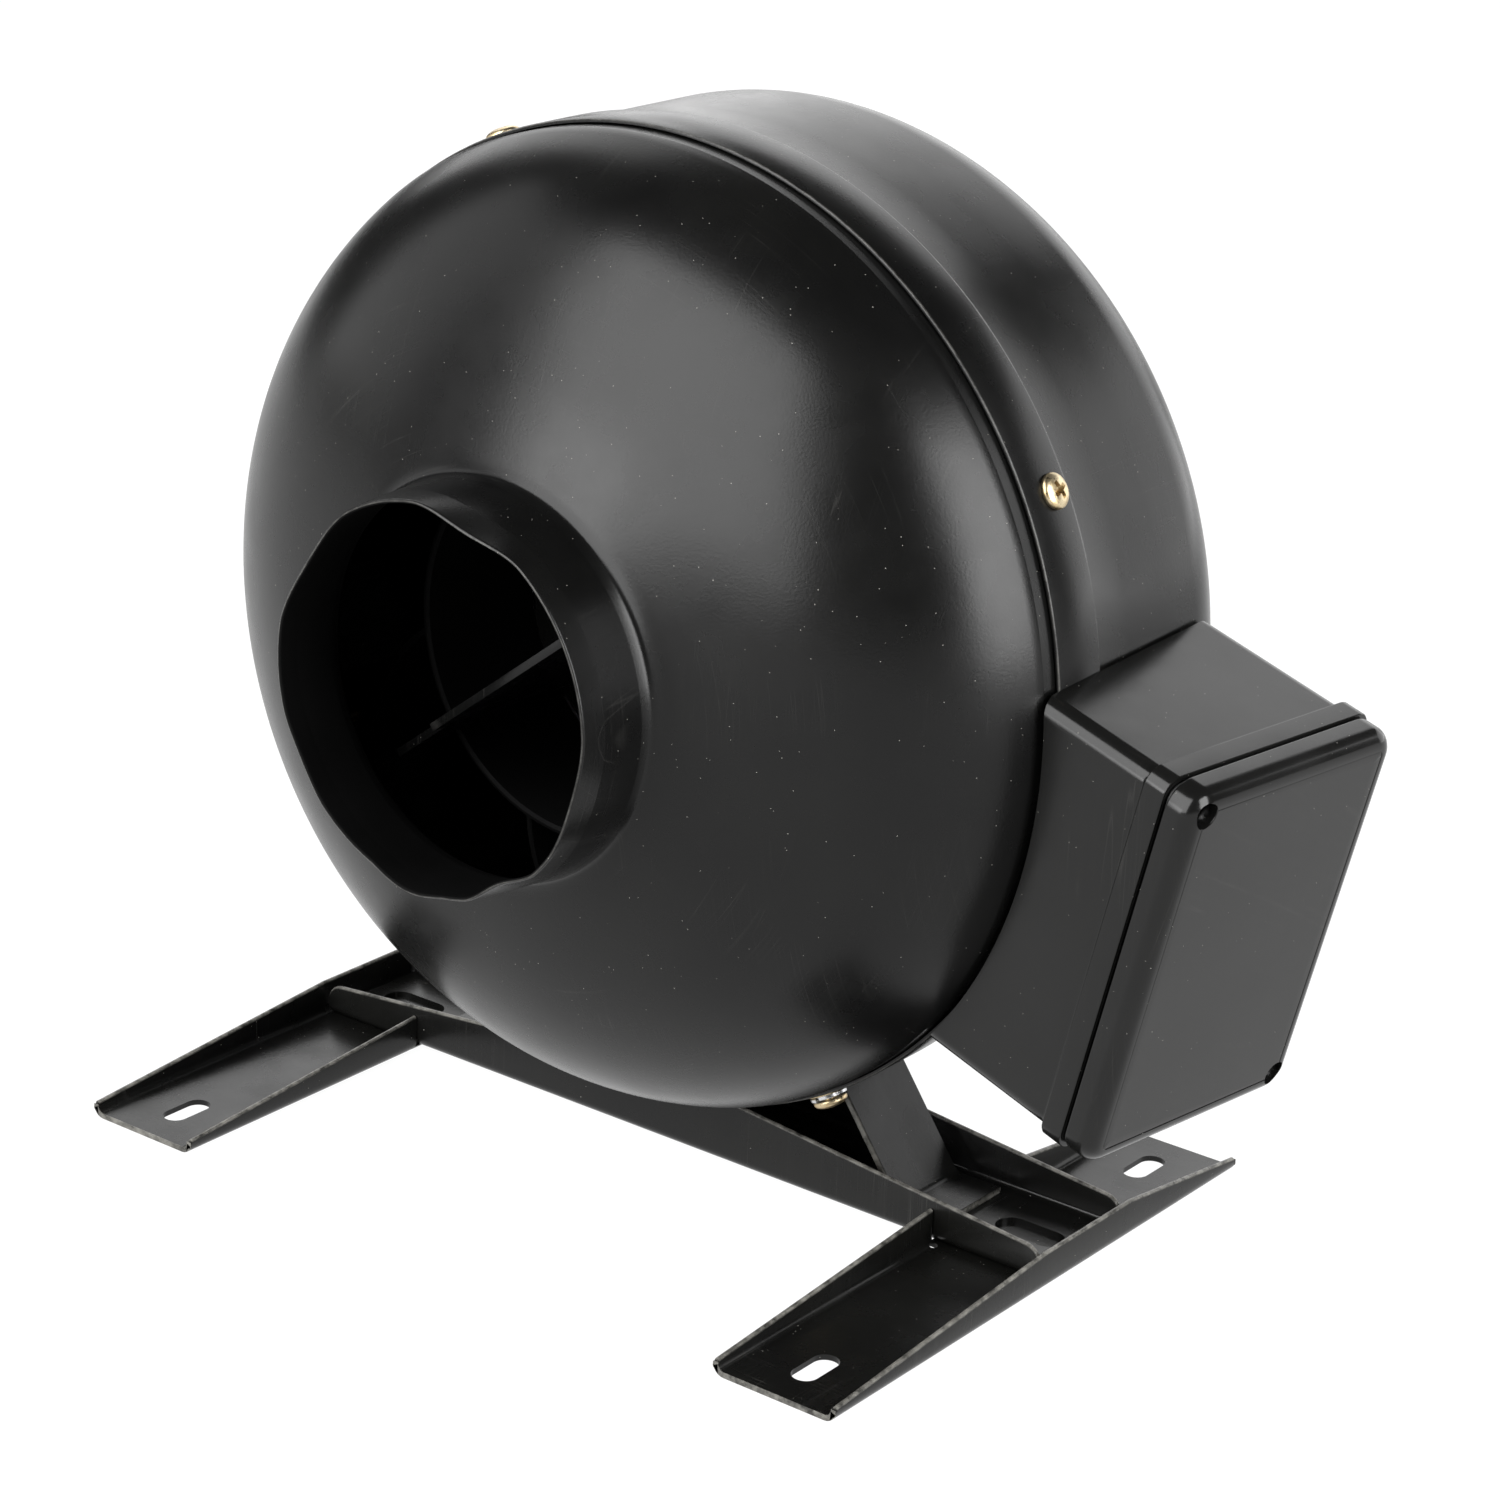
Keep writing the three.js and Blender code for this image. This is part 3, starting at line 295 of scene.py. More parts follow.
def finish(name, tone, tint, rough, metallic=0.0, peel=None, dust=0.0, scratches=0.0, coat=0.0,
           worn=None, streaks=0.0, blotch=18, specular=0.5):
    # tone and tint are the two colours that drift into each other, rough is (least, most)
    material = bpy.data.materials.new(name)
    material.use_nodes = True
    tree = material.node_tree
    shader = tree.nodes["Principled BSDF"]
    shader.inputs["Metallic"].default_value = metallic
    shader.inputs["Specular IOR Level"].default_value = specular
    shader.inputs["Coat Weight"].default_value = coat
    shader.inputs["Coat Roughness"].default_value = 0.12
    place = tree.nodes.new("ShaderNodeTexCoord").outputs["Object"]

    def noise(scale, detail=4.0, roughness=0.55, at=place):
        made = node(tree, "TexNoise", Scale=scale, Detail=detail, Roughness=roughness)
        link(tree, at, made.inputs["Vector"])
        return made.outputs["Fac"]

    cloud = noise(blotch)
    colour = mixed(tree, ramp(tree, cloud, [(0.35, 0.0), (0.65, 1.0)]), tone, tint)
    roughness = ramp(tree, noise(blotch * 3.3, 6), [(0.3, rough[0]), (0.7, rough[1])])
    height = None
    if streaks:
        stretch = node(tree, "Mapping")
        stretch.inputs["Scale"].default_value = (1, 0.03, 1)
        link(tree, place, stretch.inputs["Vector"])
        brushed = noise(2400, 2, 0.6, stretch.outputs["Vector"])
        roughness = mixed(tree, streaks, roughness,
                          ramp(tree, brushed, [(0.35, rough[0]), (0.65, rough[1])]))
        height = brushed
    if peel:
        scale, depth = peel
        height = maths(tree, "MULTIPLY", noise(scale, 2, 0.5), depth)
    if scratches:
        # long thin lines: two sets of stretched noise, kept only where a third allows them
        allowed = ramp(tree, noise(26, 3), [(0.5, 0.0), (0.66, 1.0)])
        for i, (turn, scale) in enumerate(((0.5, (700, 4, 4)), (-0.9, (5, 900, 5)))):
            stretch = node(tree, "Mapping")
            stretch.inputs["Rotation"].default_value = (turn, turn * 0.6, turn)
            stretch.inputs["Scale"].default_value = scale
            link(tree, place, stretch.inputs["Vector"])
            line = ramp(tree, noise(1.0, 1.5, 0.4, stretch.outputs["Vector"]),
                        [(0.493, 0.0), (0.5, 1.0), (0.507, 0.0)])
            mark = maths(tree, "MULTIPLY", maths(tree, "MULTIPLY", line, allowed), scratches)
            colour = mixed(tree, mark, colour, (0.16, 0.155, 0.145))
            roughness = mixed(tree, mark, roughness, (0.6, 0.6, 0.6))
    if dust:
        for scale, size, share in ((520, 0.06, 0.76), (260, 0.035, 0.66)):
            cells = node(tree, "TexVoronoi", feature="F1", Scale=scale)
            link(tree, place, cells.inputs["Vector"])
            dot = maths(tree, "LESS_THAN", cells.outputs["Distance"], size)
            kept = maths(tree, "GREATER_THAN", noise(scale * 0.31, 1), 1 - share * 0.66)
            chosen = maths(tree, "GREATER_THAN", cells.outputs["Color"], 0.45)
            speck = maths(tree, "MULTIPLY", maths(tree, "MULTIPLY", dot, kept), chosen)
            speck = maths(tree, "MULTIPLY", speck, dust)
            colour = mixed(tree, speck, colour, (0.33, 0.32, 0.29))
            roughness = mixed(tree, speck, roughness, (0.8, 0.8, 0.8))
    if worn:
        # bare metal and thin paint where the mesh says that the edge is rubbed
        rubbed = node(tree, "Attribute", attribute_name="wear").outputs["Fac"]
        patch = ramp(tree, noise(330, 5, 0.65), [(0.34, 0.15), (0.62, 1.0)])
        amount = maths(tree, "MULTIPLY", rubbed, patch)
        colour = mixed(tree, amount, colour, worn)
        roughness = mixed(tree, amount, roughness, (0.3, 0.3, 0.3))
    if height is not None:
        bump = node(tree, "Bump", Strength=0.35, Distance=0.0001)
        link(tree, height, bump.inputs["Height"])
        link(tree, bump.outputs["Normal"], shader.inputs["Normal"])
    link(tree, colour, shader.inputs["Base Color"])
    link(tree, roughness, shader.inputs["Roughness"])
    return material


# painted shade: a darker, duller coat for the insides of the shell and the guide vanes, standing in for the
# shade that falls inside the housing
paintedShadeInside = finish("paintedShadeInside", (0.0015, 0.0015, 0.0015), (0.0025, 0.0025, 0.0025), (0.6, 0.75),
                    specular=0.06,
                    peel=(900, 0.5))
powderCoat = finish("powderCoat", (0.002, 0.002, 0.002), (0.0034, 0.0034, 0.0032), (0.24, 0.3),
                    specular=0.24,
                    peel=(1500, 0.6), dust=0.6, scratches=0.05, worn=(0.2, 0.195, 0.18))
standPaint = finish("standPaint", (0.003, 0.003, 0.003), (0.0045, 0.0045, 0.004), (0.2, 0.32),
                    specular=0.24,
                    peel=(700, 0.7), dust=0.6, scratches=0.1, worn=(0.16, 0.155, 0.14))
boxPlastic = finish("boxPlastic", (0.004, 0.004, 0.0038), (0.006, 0.006, 0.0058), (0.15, 0.22),
                    specular=0.26,
                    peel=(260, 0.25), dust=0.5, scratches=0.04, worn=(0.05, 0.05, 0.048))
yellowZinc = finish("yellowZinc", (0.46, 0.35, 0.19), (0.62, 0.52, 0.34), (0.24, 0.42), metallic=1.0,
                    peel=(1800, 0.7), blotch=420)
brightZinc = finish("brightZinc", (0.5, 0.51, 0.53), (0.62, 0.62, 0.61), (0.2, 0.36), metallic=1.0,
                    peel=(1600, 0.5), blotch=300)
galvanised = finish("galvanised", (0.3, 0.315, 0.33), (0.45, 0.46, 0.47), (0.3, 0.5), metallic=1.0,
                    peel=(500, 0.5), blotch=120)
bearingSteel = finish("bearingSteel", (0.48, 0.48, 0.49), (0.56, 0.56, 0.56), (0.12, 0.22), metallic=1.0,
                      streaks=0.6, blotch=200)
lamination = finish("lamination", (0.1, 0.1, 0.105), (0.17, 0.165, 0.16), (0.45, 0.6), metallic=0.7,
                    streaks=0.8, blotch=90)
copperWire = finish("copperWire", (0.34, 0.11, 0.045), (0.5, 0.19, 0.08), (0.25, 0.4), metallic=0.9,
                    peel=(2600, 1.0), blotch=260)
blackRubber = finish("blackRubber", (0.012, 0.012, 0.012), (0.022, 0.022, 0.021), (0.5, 0.68),
                     peel=(1100, 0.8), dust=0.5)
palePlastic = finish("palePlastic", (0.62, 0.6, 0.54), (0.7, 0.68, 0.62), (0.38, 0.5), peel=(900, 0.4),
                     blotch=60)
print("materials made")


# the two shells

shellShape = {"sides": 288, "radius": 126.2, "sheet": 1.0, "band": 127.2, "skirt": 125.9, "crease": 32.0,
              "joggle": 14.0, "straight": 30.0, "skirtEnd": 15.5, "domeSteps": 44}
frontDome = {"depth": 55.5, "startAngle": 17, "startPull": 41, "endAngle": 74, "endPull": 25.4}
rearDome = {"depth": 60, "startAngle": 2, "startPull": 30, "endAngle": 60, "endPull": 22}
spigotShape = {"length": 23, "base": 51.3, "shoulder": 3.5, "neck": 50.2, "waist": 49.8, "taper": 7,
               "rim": 49}
# knocks in the outlet's rim: angle, half width in degrees, depth, how far down the tube they reach
rimSoft = 0.5  # the sheet's edge is rounded over half its thickness
outletDents = [(75, 21, 2.7, 0.9), (146, 24, 2.0, 1.0), (-17, 21, 1.1, 0.8), (-149, 16, 0.8, 0.7),
               (-60, 15, 2.4, 0.7), (-97, 15, -1.5, 0.7)]
inletDents = [(200, 26, 0.9, 0.7), (20, 18, 0.6, 0.6)]
housingScrew = {"count": 4, "firstAngle": 26.5, "y": -20.0, "radius": 4.5, "height": 2.4, "shank": 1.9,
                "reach": 9.5}
screwAngles = [housingScrew["firstAngle"] + i * 360 / housingScrew["count"]
               for i in range(housingScrew["count"])]


def bezier(a, b, c, d, t):
    u = 1 - t
    return a * u ** 3 + b * 3 * u * u * t + c * 3 * u * t * t + d * t ** 3


def domeLine(dome, startRadius, start, shares):
    slope = lambda angle: Vector((-sin(radians(angle)), cos(radians(angle))))
    first = Vector((startRadius, start))
    last = Vector((spigotShape["base"], start + dome["depth"]))
    return [bezier(first, first + slope(dome["startAngle"]) * dome["startPull"],
                   last - slope(dome["endAngle"]) * dome["endPull"], last, t) for t in shares]


def spigotLine(base):
    s = spigotShape
    rim = base + s["length"]
    corner = filletPath([(s["base"] + 6, base - 2.2), (s["base"] - 0.4, base + 0.4),
                         (s["neck"], base + s["shoulder"]),
                         (s["waist"], rim - s["taper"]), (s["rim"], rim - rimSoft)], 2.2, 4)
    tip = [corner[-2].lerp(corner[-1], share) for share in (0.35, 0.65, 0.85, 0.95)]
    return corner[1:-1] + tip + corner[-1:]


def offsetLine(line, distance):
    out = []
    for i, p in enumerate(line):
        along = (line[min(i + 1, len(line) - 1)] - line[max(i - 1, 0)]).normalized()
        out.append(p + Vector((-along.y, along.x)) * distance)
    return out


def shellLine(dome, startRadius, start, firstShare=0.0):
    base = start + dome["depth"]
    steps = shellShape["domeSteps"]
    body = domeLine(dome, startRadius, start, [firstShare + (0.965 - firstShare) * i / steps
                                               for i in range(steps + 1)])
    return body + spigotLine(base)


def rimArc(line, inner):
    a, b = line[-1], inner[-1]
    middle, half = (a + b) / 2, (a - b) / 2
    return [middle + Matrix.Rotation(pi * s, 2) @ half for s in (0.17, 0.33, 0.5, 0.67, 0.83)]


def dented(dents, base, length, flip):
    def reshape(r, y, a):
        down = (y * flip - base) / length
        if down <= -0.2 or r > 56:
            return r
        change = 0
        for angle, width, depth, reach in dents:
            away = abs((degrees(a) - angle + 180) % 360 - 180) / width
            if away < 1:
                across = (0.5 + 0.5 * cos(pi * away)) ** 0.8
                start = 1 - reach
                along = max(0, min(1, (down - start) / reach))
                change += depth * across * along ** 1.6
        bulge = sum(0.25 * depth * cos(radians(degrees(a) - angle) * 2) for angle, width, depth,
                    reach in dents[:2])
        return r - change + bulge * max(0, down) * 0.35
    return reshape


def paintInsideShade(obj, facing):
    # painted shade: faces on the inside of a shell get the darker, duller inside coat, standing in for the
    # shade inside the housing; facing is the way along the fan that its inside looks
    obj.data.materials.append(paintedShadeInside)
    for face in obj.data.polygons:
        across = (face.center - originPoint) / mm - Vector((0, 0, axisHeight))
        across.y = 0
        if face.normal.dot(across.normalized()) < -0.02 or face.normal.y * facing > 0.3:
            face.material_index = 1


def makeFrontShell():
    s = shellShape
    outer = shellLine(frontDome, s["band"], s["crease"], 0.035)
    inner = offsetLine(outer, s["sheet"])
    groove = filletPath([(s["skirt"], s["skirtEnd"]), (s["skirt"], s["crease"] + 0.35),
                         tuple(outer[0] + Vector((0.02, -0.25))), tuple(outer[0])], 0.6, 4)[:-1]
    under = [Vector((s["skirt"] - s["sheet"], s["crease"] + 1.0)),
             Vector((s["skirt"] - s["sheet"], s["skirtEnd"]))]
    profile = groove + outer + rimArc(outer, inner) + inner[::-1] + under
    profile = [(p.x, -p.y) for p in profile]
    shape = lathe(profile, s["sides"], dented(outletDents, s["crease"] + frontDome["depth"],
                                              spigotShape["length"], -1))
    obj = rawObject("frontShell", shape)
    holes = [rawObject("hole", spindle([(0, 118), (2.2, 118), (2.2, 132), (0, 132)], 24),
                       radialTurn(a, housingScrew["y"])) for a in screwAngles]
    combine(obj, holes)
    rim = -rimToMiddle
    markWear(obj, lambda p: 0.2 if p.y < rim + 0.2 else 0)
    piece(obj, powderCoat, "housing", "powder_coat", "front_shell")
    paintInsideShade(obj, 1)


def makeRearShell():
    s = shellShape
    outer = shellLine(rearDome, s["radius"], s["straight"])
    inner = offsetLine(outer, s["sheet"])
    edge = -s["crease"] + 0.7
    band = [Vector((s["band"] - 0.55, edge)), Vector((s["band"] - 0.2, edge + 0.12)),
            Vector((s["band"], edge + 0.5)),
            Vector((s["band"], -s["joggle"] - 0.5)), Vector((s["band"] - 0.12, -s["joggle"])),
            Vector((s["radius"] + 0.12, -s["joggle"] + 0.9)), Vector((s["radius"], -s["joggle"] + 1.5))]
    thin = [Vector((s["band"] - 0.9, edge)), Vector((s["band"] - 1, -s["joggle"])),
            Vector((s["radius"] - 1, -s["joggle"] + 1))]
    middle = [Vector((s["radius"], y)) for y in (0, 15)]
    insideMiddle = [Vector((s["radius"] - 1, y)) for y in (15, 0)]
    profile = band + middle + outer + rimArc(outer, inner) + inner[::-1] + insideMiddle + thin[::-1]
    profile = [(p.x, p.y) for p in profile]
    shape = lathe(profile, s["sides"], dented(inletDents, s["straight"] + rearDome["depth"],
                                              spigotShape["length"], 1))
    obj = rawObject("rearShell", shape)
    hole = lambda radius, turn: rawObject("hole", spindle(
        [(0, 112), (radius, 112), (radius, 136), (0, 136)], 24), turn)
    holes = [hole(2.2, radialTurn(a, housingScrew["y"])) for a in screwAngles]
    holes += [hole(2.2, radialTurn(a, channelShape["centre"])) for a in saddleAngles]
    combine(obj, holes)
    far = s["straight"] + rearDome["depth"] + spigotShape["length"]

    def worn(p):
        if p.y > far - 0.45:
            return 0.8
        r = hypot(p.x, p.z - axisHeight)
        # the paint along the joggle's step is paler, strongly from 40 to 95 degrees round and faintly
        # elsewhere
        joggleLine = abs(p.y + s["joggle"]) < 0.3 and r > s["band"] - 0.3
        if joggleLine:
            side = degrees(atan2(p.z - axisHeight, p.x))
            return 0.55 if 40 < side < 95 else 0.12
        return 0.3 if p.y < edge + 0.3 and r > s["band"] - 0.3 else 0

    markWear(obj, worn)
    piece(obj, powderCoat, "housing", "powder_coat", "rear_shell")


# screws and washers

def crossCutter(radius, top):
    # the tapered cross of a screwdriver recess
    parts = []
    for turn in (0, 90):
        wide, narrow, half = radius * 0.6, radius * 0.28, radius * 0.16
        ring = lambda w, h, y: [(-w, y, -h), (w, y, -h), (w, y, h), (-w, y, h)]
        shape = loft([ring(narrow, half * 0.6, top - radius * 0.5), ring(wide, half, top + 0.4)])
        parts.append((shape, Matrix.Rotation(radians(turn), 4, "Y")))
    return parts


def makeScrew(name, cad, size, turn, seat, material, slotName, spin=20, body="housing"):
    radius, height, shank, reach = size["radius"], size["height"], size["shank"], size["reach"]
    lip = height * 0.3
    crown = [(radius * cos(a), lip + (height - lip) * sin(a)) for a in (radians(v) for v in span(0, 84, 9))]
    threads = []
    y = -reach + 0.8
    while y < -0.8:
        threads += [(shank, y), (shank * 0.84, y + 0.35)]
        y += 0.7
    profile = [(0, -reach), (shank * 0.5, -reach), (shank * 0.84, -reach + 0.4)] + threads
    profile += [(shank, -0.4), (shank, 0), (radius * 0.97, 0),
                (radius, 0.12 * height)] + crown + [(0, height)]
    place = turn @ Matrix.Translation((0, seat, 0)) @ Matrix.Rotation(radians(spin), 4, "Y")
    obj = rawObject(name, spindle(profile, 40), place)
    combine(obj, [rawObject("cross", shape, place @ cross) for shape, cross in crossCutter(radius, height)])
    piece(obj, material, body, slotName, cad, sharp=38)


def washerProfile(inner, outer, thick, soft=0.2):
    return [(inner + soft, 0), (outer - soft, 0), (outer, soft), (outer, thick - soft),
            (outer - soft, thick),
            (inner + soft, thick), (inner, thick - soft), (inner, soft)]


def ringShape(profile, sides, lift=0.0, gapAngle=0.0):
    rings = []
    count = sides if not gapAngle else sides + 1
    for k in range(count):
        share = k / sides
        a = radians(gapAngle / 2 + (360 - gapAngle) * share)
        rings.append([(r * cos(a), y + lift * share, r * sin(a)) for r, y in profile])
    return loft(rings, closedAlong=not gapAngle)


earthStack = {"washer": 6.0, "washerThick": 1.0, "spring": 4.9, "springThick": 1.1, "springLift": 0.5}


def makeHousingScrews():
    surface = shellShape["band"] + 0.05
    stack = earthStack
    for i, angle in enumerate(screwAngles):
        lowest = i == len(screwAngles) - 1
        turn = radialTurn(angle, housingScrew["y"])
        extra = stack["washerThick"] + stack["springThick"] + stack["springLift"] + 0.2
        makeScrew(f"housingScrew{i + 1}", f"housing_screw_{i + 1}", housingScrew, turn,
                  surface + (extra if lowest else 0), yellowZinc, "yellow_zinc", spin=24 + 31 * i)
        if lowest:
            flat = rawObject("earthWasher",
                             ringShape(washerProfile(2.3, stack["washer"], stack["washerThick"]), 64),
                             turn @ Matrix.Translation((0, surface, 0)))
            piece(flat, yellowZinc, "housing", "yellow_zinc", "earth_washer")
            split = ringShape(washerProfile(2.3, stack["spring"], stack["springThick"]), 60,
                              stack["springLift"], 14)
            spring = rawObject("earthSpringWasher", split,
                               turn @ Matrix.Translation((0, surface + stack["washerThick"] + 0.05, 0)))
            piece(spring, brightZinc, "housing", "bright_zinc", "earth_spring_washer")


# feet, channel and saddle

footShape = {"outer": 124.3, "width": 36.6, "centre": -15.0, "length": 178.0, "steel": 1.5, "bend": 2.6,
             "flange": 11.0, "tip": 4.2, "slot": (7.0, 15.0), "slotSpread": 145.0}
channelShape = {"centre": 3.2, "width": 38.3, "half": 121.6, "underside": 1.5, "endHeight": 9.1,
                "middleHeight": 20.3, "steel": 1.5, "bend": 2.3, "corner": 4.5, "slot": (20.0, 9.0),
                "slotAt": 106.3}
saddleShape = {"width": 26.0, "steel": 2.0, "cradle": 24.3, "foot": 74.0, "tab": 14.0, "screwAngle": 10.0}
saddleScrew = {"radius": 4.0, "height": 2.0, "shank": 1.9, "reach": 6.0}
saddleAngles = [-90 + side * saddleShape["screwAngle"] for side in (-1, 1)]
flangeFront = channelShape["centre"] - channelShape["width"] / 2
flangeBack = channelShape["centre"] + channelShape["width"] / 2


def footHeight(y):
    f = footShape
    ends = (f["centre"] - f["length"] / 2, f["centre"] + f["length"] / 2)
    if flangeFront <= y <= flangeBack:
        height = f["flange"]
    else:
        kink, end = (flangeFront, ends[0]) if y < flangeFront else (flangeBack, ends[1])
        height = f["flange"] + (f["tip"] - f["flange"]) * (y - kink) / (end - kink)
    fromTip = min(y - ends[0], ends[1] - y)
    corner = 1.0
    if fromTip < corner:
        height -= corner - sqrt(max(0, corner ** 2 - (corner - fromTip) ** 2))
    return height


def slotTool(x, y, size, low, high):
    corner = min(size) / 2 - 0.01
    outline = roundRect(size[0], size[1], corner, 9)
    return rawObject("slot", loft([[(x + a, y + b, z) for a, b in outline] for z in (low, high)]))


def makeFoot(name, cad, side):
    f = footShape
    first, last = f["centre"] - f["length"] / 2, f["centre"] + f["length"] / 2
    tips = [0, 0.08, 0.2, 0.4, 0.7, 1.0, 1.6]
    stations = [first + t for t in tips] + span(first + 3, flangeFront, 18)
    stations += span(flangeFront + 2, flangeBack, 9)
    stations += span(flangeBack + 2, last - 3, 12) + [last - t for t in tips[::-1]]
    half = f["steel"] / 2
    outer, inner = side * (f["outer"] - half), side * (f["outer"] - f["width"] + half)
    rings = []
    for y in stations:
        top = footHeight(y) - half
        path = filletPath([(inner, top), (inner, half), (outer, half), (outer, top)], f["bend"], 7)
        rings.append([(p.x, y, p.y) for p in sheetLoop(path, f["steel"])])
    obj = rawObject(name, loft(rings))
    x = side * (f["outer"] - f["width"] / 2)
    slots = [slotTool(x, f["centre"] + end * f["slotSpread"] / 2, f["slot"], -1, 3) for end in (-1, 1)]
    edges = sorted((side * (f["outer"] - f["width"] - 2), side * (f["outer"] - f["width"] + 3.6)))
    notch = rawObject("notch", brick((edges[0], flangeFront - 0.3, 1.5), (edges[1], flangeBack + 0.3, 20)))
    relief = rawObject("relief", spindle([(0, -2), (1.3, -2), (1.3, 6), (0, 6)], 24),
                       Matrix.Translation((side * (f["outer"] - f["width"] + 2.6), flangeFront - 1.2, 0))
                       @ Matrix.Rotation(radians(90), 4, "X"))
    combine(obj, slots + [notch, relief])

    def worn(p):
        height = footHeight(p.y)
        if height - 0.55 < p.z <= height + 0.1:
            return 0.9
        atTip = min(p.y - first, last - p.y) < 0.15
        return 0.9 if atTip else 0

    markWear(obj, worn)
    piece(obj, standPaint, "housing", "stand_paint", cad)


def channelHeight(x):
    c = channelShape
    share = 1 - abs(x) / c["half"]
    eased = sqrt(share ** 2 + 0.0004) if share < 1 else share
    height = c["endHeight"] + (c["middleHeight"] - c["endHeight"]) * eased
    fromEnd = c["half"] - abs(x)
    if fromEnd < c["corner"]:
        height -= c["corner"] - sqrt(max(0, c["corner"] ** 2 - (c["corner"] - fromEnd) ** 2))
    return min(height, c["middleHeight"] - 0.15) + c["underside"]


def makeChannel():
    c = channelShape
    near = [0, 0.1, 0.3, 0.7, 1.2, 1.9, 2.8, 4.0, 5.5]
    stations = [-c["half"] + d for d in near] + span(-c["half"] + 9, c["half"] - 9, 37)
    stations += [c["half"] - d for d in near[::-1]]
    half = c["steel"] / 2
    floor = c["underside"] + half
    rings = []
    for x in stations:
        top = channelHeight(x) - half
        path = filletPath([(flangeFront + half, top), (flangeFront + half, floor),
                           (flangeBack - half, floor),
                           (flangeBack - half, top)], c["bend"], 7)
        rings.append([(x, p.x, p.y) for p in sheetLoop(path, c["steel"])])
    obj = rawObject("crossChannel", loft(rings))
    combine(obj, [slotTool(side * c["slotAt"], c["centre"], c["slot"], 0.5, 5) for side in (-1, 1)])
    markWear(obj, lambda p: 0.9 if p.z > channelHeight(p.x) - 0.55 else 0)
    piece(obj, standPaint, "housing", "stand_paint", "cross_channel")


def makeSaddle():
    s = saddleShape
    half = s["steel"] / 2
    radius = shellShape["radius"] + 0.1 + half
    seat = channelShape["underside"] + channelShape["steel"] + half + 0.02
    arc = []
    for a in span(-90 + s["cradle"], -90 - s["cradle"], 33):
        arc.append((radius * cos(radians(a)), axisHeight + radius * sin(radians(a))))
    bend = 3.5
    right = filletPath([(s["foot"] + s["tab"], seat), (s["foot"], seat), arc[0], arc[1]], bend, 7)[:-1]
    left = [Vector((-p.x, p.y)) for p in right[::-1]]
    path = right + [Vector(p) for p in arc[2:-2]] + left
    soft = 0.35
    section = [(s["width"] / 2 - soft, half), (s["width"] / 2, half - soft), (s["width"] / 2, soft - half),
               (s["width"] / 2 - soft, -half)]
    section = section + [(-a, b) for a, b in section[::-1]]
    rings = []
    for i, p in enumerate(path):
        along = (path[min(i + 1, len(path) - 1)] - path[max(i - 1, 0)]).normalized()
        up = Vector((-along.y, along.x))
        rings.append([(p.x + up.x * b, channelShape["centre"] + a, p.y + up.y * b) for a, b in section])
    obj = rawObject("saddleBracket", loft(rings))
    holes = [rawObject("hole", spindle([(0, 120), (2.2, 120), (2.2, 134), (0, 134)], 24),
                       radialTurn(a, channelShape["centre"])) for a in saddleAngles]
    combine(obj, holes)
    markWear(obj, lambda p: 0.6 if abs(abs(p.y - channelShape["centre"]) - s["width"] / 2) < 0.2 else 0)
    piece(obj, standPaint, "housing", "stand_paint", "saddle_bracket")
    for i, angle in enumerate(saddleAngles):
        makeScrew(f"saddleScrew{i + 1}", f"saddle_screw_{i + 1}", saddleScrew,
                  radialTurn(angle, channelShape["centre"]), shellShape["radius"] + s["steel"] + 0.2,
                  brightZinc, "bright_zinc", spin=50 * i)


# junction box, in its own turned frame: X out of the lid, Y along the fan, Z up the lid

boxShape = {"centre": (118.01, -0.47, 114.05), "tilt": 14.0, "yaw": -7.6, "depth": 72.4, "height": 102.2,
            "wall": 2.4, "ledge": 35.0, "parting": 42.4, "face": 50.7, "rim": 1.4, "seam": 1.0,
            "corner": 4.6,
            "lidRound": 4.3, "screwInset": 5.6, "post": 9.0}
lidScrew = {"radius": 2.4, "height": 1.6, "shank": 1.4, "reach": 12.0, "sink": 5.1}
boxTurn = (Matrix.Translation(boxShape["centre"]) @ Matrix.Rotation(radians(boxShape["yaw"]), 4, "Z")
           @ Matrix.Rotation(radians(boxShape["tilt"]), 4, "Y"))
lidCorners = [(along * (boxShape["depth"] / 2 + boxShape["rim"] - boxShape["screwInset"]),
               up * (boxShape["height"] / 2 + boxShape["rim"] - boxShape["screwInset"]))
              for along, up in ((-1, 1), (1, -1))]


def boxRing(x, grow, corner=None):
    b = boxShape
    radius = max(0.6, (corner if corner is not None else b["corner"]) + min(grow, 0) * 0.4)
    return [(x, y, z) for y, z in roundRect(b["depth"] + grow * 2, b["height"] + grow * 2, radius, 9)]


def housingDrum(radius):
    turn = Matrix.Translation((0, 0, axisHeight))
    return rawObject("drum", spindle([(0, -90), (radius, -90), (radius, 90), (0, 90)], 240), turn)


def alongLid(profile, place):
    return rawObject("bore", spindle(profile, 36),
                     boxTurn @ Matrix.Translation((0, place[0], place[1]))
                     @ Matrix.Rotation(radians(-90), 4, "Z"))


def pillar(place, low, high):
    h = boxShape["post"] / 2
    return rawObject("pillar", brick((low, place[0] - h, place[1] - h),
                                     (high, place[0] + h, place[1] + h)), boxTurn)


